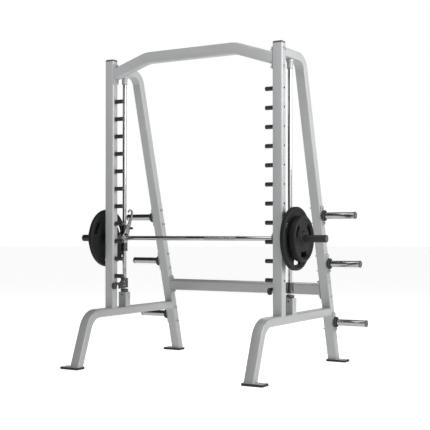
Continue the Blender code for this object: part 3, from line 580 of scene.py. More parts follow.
def makeSideFrame(side, s):
    x = s * tube["middle"]
    low = tube["railTop"]
    upright = sweepTube(section, (x, uprightY, low - 0.004), upZ, acrossX,
                        [("run", (tube["top"] - low) / 2), ("run", (tube["top"] - low) / 2 + 0.004)])
    addPiece(side + "UprightTube", upright, "paint", "frame", (side + "_upright",))

    level = tube["railTop"] - halfDeep
    frontY = legs["frontFootY"] + halfDeep / math.cos(frontAngle)
    cornerY = frontY + legs["frontSlope"] * (level - legs["footTop"])
    lean = Vector((0, math.sin(frontAngle), math.cos(frontAngle)))
    turn = math.pi / 2 - frontAngle
    tangent = legs["frontBend"] * math.tan(turn / 2)
    legLong = (level - legs["footTop"] + 0.030) / math.cos(frontAngle)
    corner = Vector((x, cornerY, level))
    railLong = rearFace(tube["railTop"] - tube["deep"]) + 0.020 - cornerY
    base = sweepTube(section, corner - lean * legLong, lean, acrossX,
                     [("run", legLong - tangent), ("bend", -math.degrees(turn), legs["frontBend"], 18),
                      ("run", railLong - tangent)])
    cutOff(base, (x, 0, legs["footTop"]), (0, 0, -1))
    cutOff(base, (x, rearFace(level) + 0.0005, level), leanBack @ acrossY)
    addPiece(side + "BaseTube", base, "paint", "frame", (side + "_base_rail",))

    topLevel = legs["rearTop"] - halfDeep
    rearCorner = Vector((x, rearMiddle(topLevel), topLevel))
    backLean = Vector((0, -math.sin(rearAngle), math.cos(rearAngle)))
    turn = math.pi / 2 - rearAngle
    tangent = legs["rearBend"] * math.tan(turn / 2)
    legLong = (topLevel - legs["footTop"] + 0.030) / math.cos(rearAngle)
    reach = rearCorner.y - (tube["front"] + tube["deep"])
    rear = sweepTube(section, rearCorner - backLean * legLong, backLean, acrossX,
                     [("run", legLong - tangent), ("bend", math.degrees(turn), legs["rearBend"], 18),
                      ("run", reach - tangent + 0.001)])
    cutOff(rear, (x, 0, legs["footTop"]), (0, 0, -1))
    addPiece(side + "RearTube", rear, "paint", "frame", (side + "_rear_leg",))

    bead = tube["bead"]
    welds = weldBead(tube["wide"] - 0.006, tube["deep"], tube["corner"], bead, upZ,
                     (x, uprightY, tube["railTop"] + 0.0005))
    putInto(welds, weldBead(tube["wide"] - 0.006, tube["deep"], tube["corner"], bead, acrossY,
                            (x, tube["front"] + tube["deep"] + 0.0005, topLevel)))
    for middle, angle in ((frontY, frontAngle), (rearMiddle(legs["footTop"]), rearAngle)):
        putInto(welds, weldBead(tube["wide"], tube["deep"] / math.cos(angle), tube["corner"], bead, upZ,
                                (x, middle, legs["footTop"] + 0.0005)))
    joint = weldBead(tube["wide"] - 0.006, tube["deep"] / math.cos(rearAngle), tube["corner"], bead, None,
                     (x, rearFace(level), level), leanBack @ Matrix.Rotation(math.pi / 2, 3, "X"))
    putInto(welds, joint)
    addPiece(side + "FrameWelds", welds, "paint", "frame")


capShape = {"high": 0.0150, "lip": 0.0035, "dome": 0.0112}


# A domed push-in cap with a thin lip over the tube's end.
def makeUprightCap(side, s):
    low = highOf(side + "_upright").z
    lip = slab(tube["wide"], tube["deep"], capShape["lip"], tube["corner"], 0.0008)
    dome = roundedFace(tube["wide"] - 0.003, tube["deep"] - 0.003, tube["corner"] - 0.001, 6)
    shift(dome, (0, 0, capShape["lip"] - 0.0005))
    pullUp(dome, dome.faces[:], (0, 0, capShape["dome"]))
    faceOut(dome)
    rim = [e for e in dome.edges if min(v.co.z for v in e.verts) > capShape["lip"] + 0.005]
    roundEdges(dome, rim, 0.0100, 7)
    shift(putInto(lip, dome), (s * tube["middle"], uprightY, low + 0.0002))
    addPiece(side + "UprightCap", lip, "cap", "frame", (side + "_upright_cap",), 50)


footShape = {"lip": 0.0085, "lipTop": 0.0158, "floor": 0.0098, "slotLong": 0.034, "slotWide": 0.014,
             "slotOut": 0.040}


# Steel foot plate set into a moulded rubber tray.
def makeFoot(side, s, end):
    padName, plateName = f"{side}_{end}_foot_pad", f"{side}_{end}_foot_plate"
    size, middle = highOf(padName) - lowOf(padName), middleOf(padName)
    tray = roundedFace(size.x, size.y, 0.012, 5)
    top = pullUp(tray, tray.faces[:], (0, 0, footShape["lipTop"]))
    faceOut(tray)
    bmesh.ops.inset_region(tray, faces=top, thickness=footShape["lip"], use_even_offset=True)
    sunk = pullUp(tray, top, (0, 0, footShape["floor"] - footShape["lipTop"]))
    faceOut(tray)
    roundEdges(tray, [e for e in sharpEdges(tray) if isLevel(e)
                      and e.verts[0].co.z > footShape["floor"] + 0.001], 0.0012, 3)
    roundEdges(tray, [e for e in sharpEdges(tray) if max(v.co.z for v in e.verts) < 1e-6], 0.0024, 3)
    shift(tray, (middle.x, middle.y, 0))
    addPiece(f"{side}{end.title()}FootPad", tray, "rubber", "frame", (padName,))

    low, high = lowOf(plateName), highOf(plateName)
    wide, deep = size.x - 2 * footShape["lip"] - 0.001, size.y - 2 * footShape["lip"] - 0.001
    plate = roundedFace(wide, deep, 0.008, 4)
    slotAt = s * (outerX + footShape["slotOut"]) - middle.x
    slotWide = footShape["slotWide"]
    hole = roundedFace(footShape["slotLong"], slotWide, slotWide / 2 - 0.0002, 6)
    putInto(plate, shift(hole, (slotAt, 0, 0)))
    bmesh.ops.delete(plate, geom=plate.faces[:], context="FACES_ONLY")
    bmesh.ops.triangle_fill(plate, edges=plate.edges[:], use_beauty=True)
    pullUp(plate, plate.faces[:], (0, 0, high.z - low.z))
    faceOut(plate)
    rims = [e for e in sharpEdges(plate, 60) if isLevel(e)]
    roundEdges(plate, rims, 0.0008)
    shift(plate, (middle.x, middle.y, low.z))
    addPiece(f"{side}{end.title()}FootPlate", plate, "paint", "frame", (plateName,))


pegShape = {"radius": 0.0151, "root": 0.0170, "rootLong": 0.008, "first": 0.646, "pitch": 0.130, "count": 11,
            "long": 0.067, "y": tube["front"] + 0.034, "round": 0.0042}


# Eleven dipped pegs a side, each screwed through the upright.
def makePegs(side, s):
    pegs, ends, heads = bmesh.new(), bmesh.new(), bmesh.new()
    for k in range(pegShape["count"]):
        z = pegShape["first"] + k * pegShape["pitch"]
        root = (s * innerX, pegShape["y"], z)
        inward = (-s, 0, 0)
        shape = lathe([(0, -0.004), (pegShape["root"], -0.004), (pegShape["root"], pegShape["rootLong"]),
                       (pegShape["radius"], pegShape["rootLong"] + 0.004),
                       (pegShape["radius"], pegShape["long"] - 0.0004), (0, pegShape["long"] - 0.0004)],
                      pegShape["round"], 36, 5)
        putInto(pegs, aim(shape, inward, root))
        tip = (s * (innerX - pegShape["long"] + 0.0006), pegShape["y"], z)
        putInto(ends, socketScrew(tip, inward, 0.0040, 0.0006))
        putInto(heads, socketScrew((s * outerX, pegShape["y"], z), (s, 0, 0), 0.0068, 0.0026))
    addPiece(side + "Pegs", pegs, "plastic", "frame", (side + "_peg_rack",))
    addPiece(side + "PegEnds", ends, "hookSteel", "frame")
    addPiece(side + "PegScrews", heads, "plastic", "frame")


rodShape = {"post": 0.058, "socketLong": 0.064, "socket": 0.0215, "flange": 0.026}


def makeRod(side, s):
    x, y = s * tube["middle"], rodAt.y
    postLow, postHigh = lowOf(side + "_rod_post").z, highOf(side + "_rod_post").z
    post = sweepTube((tube["wide"], rodShape["post"], tube["corner"]), (x, y, postLow - 0.003), upZ, acrossX,
                     [("run", postHigh - postLow + 0.003)])
    roundEdges(post, [e for e in sharpEdges(post) if min(v.co.z for v in e.verts) > postHigh - 1e-5], 0.0012)
    putInto(post, weldBead(tube["wide"] - 0.006, rodShape["post"], tube["corner"], tube["bead"], upZ,
                           (x, y, postLow + 0.0005)))
    addPiece(side + "RodPost", post, "paint", "frame", (side + "_rod_post",))
    screw = socketScrew((x, y - rodShape["post"] / 2, postHigh - 0.021), (0, -1, 0), 0.0062, 0.0014)
    addPiece(side + "PostSetScrew", screw, "plastic", "frame")

    low, high = lowOf(side + "_guide_rod").z, highOf(side + "_guide_rod").z
    rod = shift(roundBar(rodRadius, low, high, 0.001, 64), (x, y, 0))
    addPiece(side + "Rod", rod, "chromeUp", "frame", (side + "_guide_rod",))

    top, bore = highOf(side + "_rod_socket").z, rodRadius + 0.0003
    holder = lathe([(bore, top - rodShape["socketLong"]), (rodShape["socket"], top - rodShape["socketLong"]),
                    (rodShape["socket"], top - 0.022), (rodShape["flange"], top - 0.020),
                    (rodShape["flange"], top), (bore, top)], 0.0012, 56)
    addPiece(side + "RodSocket", shift(holder, (x, y, 0)), "paint", "frame", (side + "_rod_socket",))
    screw = socketScrew((x, y - rodShape["socket"], top - 0.045), (0, -1, 0), 0.0045, 0.0014)
    addPiece(side + "SocketScrew", screw, "bolt", "frame")

    low, high = lowOf(side + "_bump_ring"), highOf(side + "_bump_ring")
    radius = (high.x - low.x) / 2
    bump = lathe([(bore, low.z), (radius - 0.002, low.z), (radius - 0.002, low.z + 0.004),
                  (radius, low.z + 0.007), (radius, high.z - 0.003), (radius - 0.003, high.z),
                  (bore, high.z)], 0.0016, 56)
    addPiece(side + "BumpRing", shift(bump, (x, y, 0)), "gloss", "frame", (side + "_bump_ring",))


stopShape = {"armX": 0.646, "armThick": 0.0118, "armTop": 0.598, "armBack": 0.078, "corner": 0.021,
             "notch": 0.0162, "notchTop": 0.5822, "barrel": 0.029, "bore": 0.0215, "waist": 0.0016,
             "webThick": 0.0118}


# A sliding barrel with an arm whose notch drops over a peg.
def makeStop(side, s):
    node, body = side + "_safety_stop", side + "_stop"
    x, y = s * tube["middle"], rodAt.y
    low, high = lowOf(node), highOf(node)
    barrel, bore, base = stopShape["barrel"], stopShape["bore"], low.z + 0.003
    waist = barrel - stopShape["waist"]
    shape = lathe([(bore, base), (barrel - 0.001, base), (barrel, base + 0.003), (barrel, base + 0.010),
                   (waist, base + 0.013), (waist, high.z - 0.014), (barrel, high.z - 0.011),
                   (barrel, high.z - 0.001), (bore, high.z)], 0.0012, 56)
    shift(shape, (x, y, 0))
    nose = low.y
    notch, peg = stopShape["notch"], pegShape["y"]
    armBack = y - stopShape["armBack"]
    outline = [(armBack, low.z), (peg + notch + 0.001, low.z), (peg + notch, stopShape["notchTop"]),
               (peg - notch, stopShape["notchTop"]), (peg - notch - 0.001, low.z), (nose, low.z),
               (nose, stopShape["armTop"]), (tube["front"] + 0.068, stopShape["armTop"]),
               (tube["front"] + 0.088, high.z - 0.002), (armBack, high.z - 0.002)]
    arm = bmesh.new()
    points = [arm.verts.new((0, py, pz)) for py, pz in outline]
    arm.faces.new(points)
    rounds = [((2, 3), notch - 0.0006), ((1, 4), 0.003), ((5, 6), stopShape["corner"]), ((7, 8), 0.010)]
    for chosen, radius in rounds:
        roundCorners(arm, [points[k] for k in chosen], radius, 7)
    pullUp(arm, arm.faces[:], (stopShape["armThick"], 0, 0))
    faceOut(arm)
    rims = [e for e in sharpEdges(arm, 60) if abs(e.verts[0].co.x - e.verts[1].co.x) < 1e-6]
    roundEdges(arm, rims, 0.0018, 3)
    shift(arm, (s * stopShape["armX"] - stopShape["armThick"] / 2, 0, 0))
    start = Vector((s * (stopShape["armX"] + 0.002), armBack - 0.002, (high.z + base) / 2))
    end = Vector((s * (tube["middle"] - 0.004), y - 0.026, start.z))
    web = block(((end - start).length, stopShape["webThick"], high.z - base - 0.014), 0.003)
    turned(web, Matrix.Rotation(math.atan2(end.y - start.y, end.x - start.x), 3, "Z"))
    shift(web, (start + end) / 2)
    addPiece(side + "Stop", shape, "gloss", body, (node,))
    addPiece(side + "StopArm", putInto(arm, web), "plastic", body)
    screws = bmesh.new()
    for z in (base + 0.020, high.z - 0.022):
        place = (s * (stopShape["armX"] - stopShape["armThick"] / 2), armBack - 0.010, z)
        putInto(screws, socketScrew(place, (-s, 0, 0), 0.005, 0.0018))
    addPiece(side + "StopScrews", screws, "bolt", body)

    node = side + "_stop_bush"
    low, high = lowOf(node), highOf(node)
    outer = (high.x - low.x) / 2
    bush = ring(rodRadius + 0.0004, outer, low.z, high.z, 0.0008)
    addPiece(side + "StopBush", shift(bush, (x, y, 0)), "nylon", side + "_stop_slider", (node,))


carriageShape = {"radius": 0.0248, "halfLong": 0.0995, "bore": 0.0205, "waist": 0.0011, "housing": 0.0297,
                 "housingIn": 0.670, "housingOut": 0.730, "housingBore": 0.0225, "cap": 0.012}
hookShape = {"x": 0.624, "thick": 0.0098, "reach": 0.199, "seat": 0.0165, "rim": 0.0125, "lean": 19.0,
             "shankLean": 25.3, "hub": 0.037, "foot": 0.056, "neck": 0.0155, "tip": 0.016, "curl": 152,
             "collarIn": 0.6128, "collarOut": 0.6540, "collarInSize": 0.0235, "collarOutSize": 0.0255}
pinShape = {"z": 1.002, "radius": 0.009, "inner": 0.6075, "tipEnd": 0.637, "hookHalf": 0.0225}


# A long barrel on the guide rod that carries the bar in a cross housing.
def makeCarriage(side, s):
    x, y = s * tube["middle"], rodAt.y
    lining = side + "_linear_bearing"
    low, high = barAt.z - carriageShape["halfLong"], barAt.z + carriageShape["halfLong"]
    r, cap, bore = carriageShape["radius"], carriageShape["cap"], carriageShape["bore"]
    waist = r - carriageShape["waist"]
    barrel = lathe([(bore, low), (r - 0.001, low), (r, low + 0.004), (r, low + cap),
                    (waist, low + cap + 0.0015), (waist, high - cap - 0.0015), (r, high - cap),
                    (r, high - 0.004), (r - 0.001, high), (bore, high)], 0.0008, 56)
    shift(barrel, (x, y, 0))
    inn, out = carriageShape["housingIn"], carriageShape["housingOut"]
    hub, hubBore = carriageShape["housing"], carriageShape["housingBore"]
    cross = lathe([(hubBore, inn), (hub - 0.002, inn), (hub, inn + 0.004), (hub, out - 0.004),
                   (hub - 0.002, out), (hubBore, out)], 0.0012, 56)
    putInto(barrel, onBar(cross, s))
    neck = block((0.034, y - barAt.y, 0.047), 0.005)
    putInto(barrel, shift(neck, (x, (y + barAt.y) / 2, barAt.z)))
    addPiece(side + "Carriage", barrel, "gloss", "carriages", (side + "_carriage",))

    seal = ring(rodRadius + 0.0004, 0.0203, low + 0.003, high - 0.003, 0.0006)
    addPiece(side + "BearingLiner", shift(seal, (x, y, 0)), "bolt", "carriages", (lining,))
    race = ring(barRadius + 0.0004, 0.0223, inn + 0.0006, out - 0.0006, 0.0006)
    addPiece(side + "BarBearing", onBar(race, s), "bolt", "carriages",
             (side + "_bar_bearing",))
    screws = bmesh.new()
    for z in (barAt.z - 0.012, barAt.z + 0.012):
        putInto(screws, socketScrew((x + s * 0.017, (y + barAt.y) / 2 + 0.004, z), (s, 0, 0), 0.005, 0.002))
    addPiece(side + "CarriageScrews", screws, "bolt", "carriages")

    pinZ, pinR, lean = pinShape["z"], pinShape["radius"], math.radians(hookShape["shankLean"])
    behind = (pinZ - barAt.z) * math.sin(lean) + pinShape["hookHalf"] + pinR + 0.0003
    pinY = barAt.y + behind / math.cos(lean)
    pin = roundBar(pinR - 0.0015, 0.620, tube["middle"] - 0.015, 0.001, 28, 1)
    addPiece(side + "RestPin", aim(pin, (s, 0, 0), (0, pinY, pinZ)), "bolt", "carriages")
    start, end = pinShape["inner"], pinShape["tipEnd"]
    tip = lathe([(0, start), (pinR, start), (pinR, end - 0.003), (pinR - 0.0018, end), (0, end)], 0.0022, 28)
    addPiece(side + "RestPinTip", aim(tip, (s, 0, 0), (0, pinY, pinZ)), "rubber", "carriages")


# A flat bar hook: a tapering shank from a hub, and a curl that drops over a peg.
def makeHook(side, s):
    lean, seatLean = math.radians(hookShape["shankLean"]), math.radians(hookShape["lean"])
    along = Vector((0, math.sin(lean), math.cos(lean)))
    back = Vector((0, math.cos(lean), -math.sin(lean)))
    seat = Vector((0, math.sin(seatLean), math.cos(seatLean))) * hookShape["reach"]
    seatUp, seatBack = seat.dot(along), seat.dot(back)
    strip = roundedFace(hookShape["thick"], hookShape["foot"], 0.0018, 2)
    turned(strip, Matrix((acrossX, back, along)).transposed())
    shift(strip, along * 0.012)
    tip = strip.faces[:][0]

    # Pulls the strip on to a height up the shank, to a new width and a new middle.
    def reachOn(face, up, wide, middle):
        centre = face.calc_center_median()
        was = max((v.co - centre).dot(back) for v in face.verts) * 2
        face = pullUp(strip, [face], along * (up - centre.dot(along)) + back * (middle - centre.dot(back)))[0]
        centre = face.calc_center_median()
        for v in face.verts:
            v.co += back * (v.co - centre).dot(back) * (wide / was - 1)
        return face

    rim = hookShape["rim"]
    ringMiddle = seatBack + hookShape["seat"] + rim / 2
    tip = reachOn(tip, 0.045, hookShape["foot"], 0.0)
    tip = reachOn(tip, 0.110, 0.034, 0.0012)
    tip = reachOn(tip, 0.165, hookShape["neck"] + 0.003, ringMiddle + 0.003)
    tip = reachOn(tip, 0.182, rim + 0.003, ringMiddle + 0.0012)
    tip = reachOn(tip, seatUp, rim, ringMiddle)
    curl = math.radians(hookShape["curl"])
    last = bmesh.ops.spin(strip, geom=[tip], cent=seat, axis=acrossX, angle=curl, steps=20)["geom_last"]
    bmesh.ops.delete(strip, geom=[tip], context="FACES_ONLY")
    tip = next(g for g in last if isinstance(g, faceType))
    pullUp(strip, [tip], tip.normal * hookShape["tip"])
    shift(strip, (s * hookShape["x"], barAt.y, barAt.z))
    faceOut(strip)
    thick = hookShape["thick"]
    hub = ring(barRadius + 0.0003, hookShape["hub"], -thick / 2, thick / 2, 0.0018, 56)
    addPiece(side + "Hook", strip, "hookSteel", "bar", (side + "_hook",), 40)
    addPiece(side + "HookHub", aim(hub, acrossX, (s * hookShape["x"], barAt.y, barAt.z)), "bolt", "bar")

    collars = bmesh.new()
    half = thick / 2 - 0.0005
    for start, end, size in ((hookShape["collarIn"], hookShape["x"] - half, hookShape["collarInSize"]),
                             (hookShape["x"] + half, hookShape["collarOut"], hookShape["collarOutSize"])):
        collar = lathe([(barRadius + 0.0003, start), (size - 0.002, start), (size, start + 0.002),
                        (size, end), (barRadius + 0.0003, end)], 0.0008, 48)
        putInto(collars, onBar(collar, s))
    addPiece(side + "HookCollars", collars, "chromeAcross", "bar")
    screw = socketScrew((s * 0.6445, barAt.y, barAt.z - 0.0253), (0, 0, -1), 0.0040, 0.0016)
    addPiece(side + "CollarScrew", screw, "bolt", "bar")


def makeBar():
    end = highOf("bar").x
    shaft = aim(roundBar(barRadius, -end, end, 0.001, 64), acrossX, barAt)
    addPiece("barShaft", shaft, "barChrome", "bar", ("bar",))


sleeveShape = {"radius": 0.025, "collar": 0.036, "collarThick": 0.014, "cap": 0.0195}


# A coated sleeve with a stop collar and a pressed-in end plug.
def makeSleeve(side, s):
    node = side + "_sleeve"
    low, high = spanOf(node)
    r, c, t = sleeveShape["radius"], sleeveShape["collar"], sleeveShape["collarThick"]
    bore = barRadius + 0.0002
    sleeve = lathe([(bore, low), (c, low), (c, low + t), (r + 0.0015, low + t), (r, low + t + 0.003),
                    (r, high - 0.0008), (sleeveShape["cap"], high - 0.0008),
                    (sleeveShape["cap"], high - 0.004), (bore, high - 0.004)], 0.0022, 64, 4)
    addPiece(side + "Sleeve", onBar(sleeve, s), "sleeve", "bar", (node,))
    plug = lathe([(0, high - 0.02), (sleeveShape["cap"] - 0.0006, high - 0.02),
                  (sleeveShape["cap"] - 0.0006, high - 0.0018), (0.008, high), (0, high)], 0.0012, 48)
    addPiece(side + "SleevePlug", onBar(plug, s), "cap", "bar")


plateShapes = {
    "large": {"rim": 0.021, "hub": 0.052, "gripIn": 0.141, "gripOut": 0.179, "gripSteps": 7, "dish": 0.0085,
              "inDish": 0.0035, "round": 0.0085},
    "small": {"rim": 0.021, "hub": 0.046, "gripIn": 0.090, "gripOut": 0.126, "gripSteps": 9, "dish": 0.0095,
              "inDish": 0.0035, "round": 0.0090},
}
gripCentres, plateTurns = (32, 152, 272), 72


# A cast plate with a thick round rim, a raised hub and three grips cut through its web.
def makePlate(side, s, size):
    node, shape = f"{side}_{size}_plate", plateShapes[size]
    low, high = spanOf(node)
    radius = (highOf(node).z - lowOf(node).z) / 2
    bore, rim, hub = sleeveShape["radius"] + 0.0006, radius - shape["rim"], shape["hub"]
    webOut, webIn = high - shape["dish"], low + shape["inDish"]
    outer = [(bore, high - 0.0003), (hub, high - 0.0003), (hub + 0.009, webOut), (shape["gripIn"], webOut),
             (shape["gripOut"], webOut), (rim - 0.007, webOut), (rim, high), (radius, high)]
    inner = [(radius, low), (rim, low), (rim - 0.006, webIn), (shape["gripOut"], webIn),
             (shape["gripIn"], webIn), (hub + 0.008, webIn), (hub, low + 0.0003), (bore, low + 0.0003)]
    if size == "small":
        outer[5], inner[2] = (rim - 0.0065, webOut), (rim - 0.0055, webIn)
    bm = bmesh.new()
    points = [bm.verts.new((r, 0, along)) for r, along in outer + inner]
    bm.faces.new(points)
    rounds = [((7, 8), shape["round"]), ((6, 9), 0.003), ((1, 14), 0.0035), ((2, 5, 10, 13), 0.0035),
              ((0, 15), 0.0015)]
    for chosen, rounding in rounds:
        roundCorners(bm, [points[k] for k in chosen], rounding, 4)
    bmesh.ops.delete(bm, geom=bm.faces[:], context="FACES_ONLY")
    spinRound(bm, plateTurns)
    step = 360 / plateTurns
    opened = []
    for k in range(3):
        first = k * plateTurns // 3 * step
        lastAngle = first + shape["gripSteps"] * step
        gone = []
        for f in bm.faces:
            c = f.calc_center_median()
            r, angle = math.hypot(c.x, c.y), math.degrees(math.atan2(c.y, c.x)) % 360
            if shape["gripIn"] < r < shape["gripOut"] and first < angle < lastAngle:
                gone.append(f)
        bmesh.ops.delete(bm, geom=gone, context="FACES")
        rims = [e for e in bm.edges if e.is_boundary]
        walls = bmesh.ops.bridge_loops(bm, edges=rims)["faces"]
        opened.append(walls)
    faceOut(bm)
    wallFaces = {f for walls in opened for f in walls}
    corners = [e for e in bm.edges if len(e.link_faces) == 2 and all(f in wallFaces for f in e.link_faces)
               and e.calc_face_angle() > math.radians(60)]
    roundEdges(bm, corners, 0.0105 if size == "large" else 0.0065, 5)
    brink = [e for e in sharpEdges(bm, 60) if isLevel(e, 1e-5)
             and shape["gripIn"] - 0.003 < e.verts[0].co.xy.length < shape["gripOut"] + 0.003]
    roundEdges(bm, brink, 0.0028, 3)
    # Local X goes to the direction of the first grip's start, seen from outboard on the right.
    startAngle = math.radians(gripCentres[0] - shape["gripSteps"] * step / 2)
    bmesh.ops.rotate(bm, verts=bm.verts[:], cent=(0, 0, 0), matrix=Matrix.Rotation(startAngle, 3, "Z"))
    standUp = Matrix(((0, 0, 1), (1, 0, 0), (0, 1, 0)))
    turned(bm, standUp)
    if s < 0:
        bmesh.ops.scale(bm, vec=(-1, 1, 1), verts=bm.verts[:])
    shift(bm, (0, barAt.y, barAt.z))
    addPiece(f"{side}{size.title()}Plate", bm, "plate", f"{side}_{size}_plate", (node,), 30)
    insert = ring(bore - 0.0004, bore + 0.0045, low + 0.0012, high - 0.0002, 0.0008, 48)
    addPiece(f"{side}{size.title()}Insert", onBar(insert, s), "sleeve",
             f"{side}_{size}_plate")


hornShape = {"radius": 0.025, "long": 0.261, "plateThick": 0.008, "plateWide": 0.044, "plateHigh": 0.145,
             "flange": 0.040, "flangeThick": 0.018, "bolt": 0.0575}


def makeHorn(side, s, level):
    node = f"{side}_{level}_horn"
    z, flangeNode = middleOf(node + "_flange").z, node + "_flange"
    y, root = rearMiddle(z), outerX + 0.0003
    plate = slab(hornShape["plateWide"], hornShape["plateHigh"], hornShape["plateThick"], 0.010, 0.0012)
    sideways = Matrix(((0, 0, s), (1, 0, 0), (0, 1, 0)))
    turned(plate, leanBack @ sideways)
    shift(plate, (s * root, y, z))
    putInto(plate, aim(ring(hornShape["radius"] - 0.001, hornShape["radius"] + 0.003, 0.0, 0.003, 0.0014, 56),
                       (s, 0, 0), (s * (root + hornShape["plateThick"]), y, z)))
    addPiece(f"{side}{level.title()}HornPlate", plate, "paint", "frame")
    r, end = hornShape["radius"], hornShape["long"] - 0.0006
    horn = lathe([(0, 0.002), (r, 0.002), (r, end - 0.012), (r - 0.0006, end - 0.0112),
                  (r - 0.0006, end - 0.004), (0, end - 0.004)], 0.0005, 64)
    aim(horn, (s, 0, 0), (s * root, y, z))
    addPiece(f"{side}{level.title()}Horn", horn, "chromeAcross", "frame", (node,))
    cap = lathe([(0, end - 0.009), (r + 0.0004, end - 0.009), (r + 0.0004, end - 0.0005), (r - 0.005, end),
                 (r - 0.006, end - 0.0016), (0, end - 0.0012)], 0.0016, 56)
    addPiece(f"{side}{level.title()}HornCap", aim(cap, (s, 0, 0), (s * root, y, z)), "cap", "frame")
    t = hornShape["plateThick"] + 0.0006
    flange = lathe([(r + 0.0002, t), (hornShape["flange"], t), (hornShape["flange"], t + 0.013),
                    (hornShape["flange"] - 0.004, t + hornShape["flangeThick"]), (r + 0.004, t + 0.0175),
                    (r + 0.0002, t + 0.0155)], 0.0016, 56)
    addPiece(f"{side}{level.title()}HornFlange", aim(flange, (s, 0, 0), (s * root, y, z)), "rubber", "frame",
             (flangeNode,))
    bolts = bmesh.new()
    for end in (-1, 1):
        reach = leanBack @ Vector((0, 0, end * hornShape["bolt"]))
        at = Vector((0, y, z)) + reach
        putInto(bolts, boltHead(at + acrossX * s * (root + hornShape["plateThick"]), (s, 0, 0), 1.05))
        putInto(bolts, boltHead(at + acrossX * s * innerX, (-s, 0, 0), 1.0, nut=True))
    addPiece(f"{side}{level.title()}HornBolts", bolts, "bolt", "frame")


beamShape = {"high": 0.080, "bendX": 0.371, "slope": 0.330, "bend": 0.20, "plateThick": 0.008,
             "plateHigh": 0.150, "rearZ": 0.550, "rearPlateHigh": 0.140, "gap": 0.0003,
             "boltsAt": (2.092, 2.210), "rearBolt": 0.056}


def endPlate(s, place, high, turn=None):
    plate = slab(tube["deep"] - 0.004, high, beamShape["plateThick"], 0.004, 0.0010)
    turned(plate, Matrix(((0, 0, s), (1, 0, 0), (0, 1, 0))))
    if turn:
        turned(plate, turn)
    return shift(plate, place)


# A cranked crossbar over the bar path, bolted between the uprights.
def makeTopBeam():
    endX = innerX - beamShape["gap"] - beamShape["plateThick"]
    midZ = highOf("top_crossbar").z - beamShape["high"] / 2
    endZ = midZ - beamShape["slope"] * (endX + beamShape["plateThick"] / 2 - beamShape["bendX"])
    bend = math.atan(beamShape["slope"])
    tangent = beamShape["bend"] * math.tan(bend / 2)
    slopeLong = math.hypot(endX + 0.004 - beamShape["bendX"], midZ - endZ) - tangent
    start = Vector((-endX - 0.004, uprightY, endZ))
    flat = 2 * (beamShape["bendX"] - tangent)
    heading = (math.cos(bend), 0, math.sin(bend))
    crank = ("bend", math.degrees(bend), beamShape["bend"], 8)
    beam = sweepTube((tube["deep"], beamShape["high"], tube["corner"]), start, heading, acrossY,
                     [("run", slopeLong), crank, ("run", flat), crank, ("run", slopeLong)])
    for s in sides.values():
        cutOff(beam, (s * endX, 0, 0), (s, 0, 0))
        putInto(beam, endPlate(s, (s * endX, uprightY, endZ), beamShape["plateHigh"]))
        place = (s * endX, uprightY, endZ - 0.004 * beamShape["slope"])
        seam = weldBead(beamShape["high"] / math.cos(bend), tube["deep"] - 0.006, tube["corner"],
                        tube["bead"], (s, 0, 0), place)
        putInto(beam, seam)
    addPiece("topCrossbar", beam, "paint", "frame", ("top_crossbar",))
    bolts = bmesh.new()
    for s in sides.values():
        for z in beamShape["boltsAt"]:
            putInto(bolts, boltHead(Vector((s * endX, uprightY, z)), (-s, 0, 0), 1.0, nut=True))
            putInto(bolts, boltHead(Vector((s * outerX, uprightY, z)), (s, 0, 0), 1.0))
    addPiece("topBolts", bolts, "bolt", "frame")


def makeRearBeam():
    z = beamShape["rearZ"]
    y = rearMiddle(z)
    endX = innerX - beamShape["gap"] - beamShape["plateThick"]
    beam = roundedFace(beamShape["high"], tube["deep"], tube["corner"], tube["cornerSteps"])
    pullUp(beam, beam.faces[:], (0, 0, 2 * endX))
    turned(beam, leanBack @ Matrix(((0, 0, 1), (0, 1, 0), (-1, 0, 0))))
    shift(beam, (-endX, y, z))
    for s in sides.values():
        putInto(beam, endPlate(s, (s * endX, y, z), beamShape["rearPlateHigh"], leanBack))
        seam = weldBead(beamShape["high"], tube["deep"] - 0.006, tube["corner"], tube["bead"], None,
                        (s * endX, y, z), leanBack @ Matrix(((0, 0, 1), (0, 1, 0), (-1, 0, 0))))
        putInto(beam, seam)
    # The rear crossbar takes the darker copy of the coat, which is painted shade.
    addPiece("rearCrossbar", beam, "paintShadedRear", "frame", ("rear_crossbar",))
    bolts = bmesh.new()
    for s in sides.values():
        for end in (-1, 1):
            at = Vector((0, y, z)) + leanBack @ Vector((0, 0, end * beamShape["rearBolt"]))
            putInto(bolts, boltHead(at + acrossX * s * endX, (-s, 0, 0), 1.0, nut=True))
            putInto(bolts, boltHead(at + acrossX * s * outerX, (s, 0, 0), 1.0))
    addPiece("rearBolts", bolts, "bolt", "frame")


for sideName, sign in sides.items():
    makeSideFrame(sideName, sign)
    makeUprightCap(sideName, sign)
    makeFoot(sideName, sign, "front")
    makeFoot(sideName, sign, "rear")
    makePegs(sideName, sign)
    makeRod(sideName, sign)
    makeStop(sideName, sign)
    makeCarriage(sideName, sign)
    makeHook(sideName, sign)
    makeSleeve(sideName, sign)
    makePlate(sideName, sign, "large")
    makePlate(sideName, sign, "small")
    for rank in ("upper", "middle", "lower"):
        makeHorn(sideName, sign, rank)
    print("side built:", sideName)
makeBar()
makeTopBeam()
makeRearBeam()
print("bar and crossbars built")

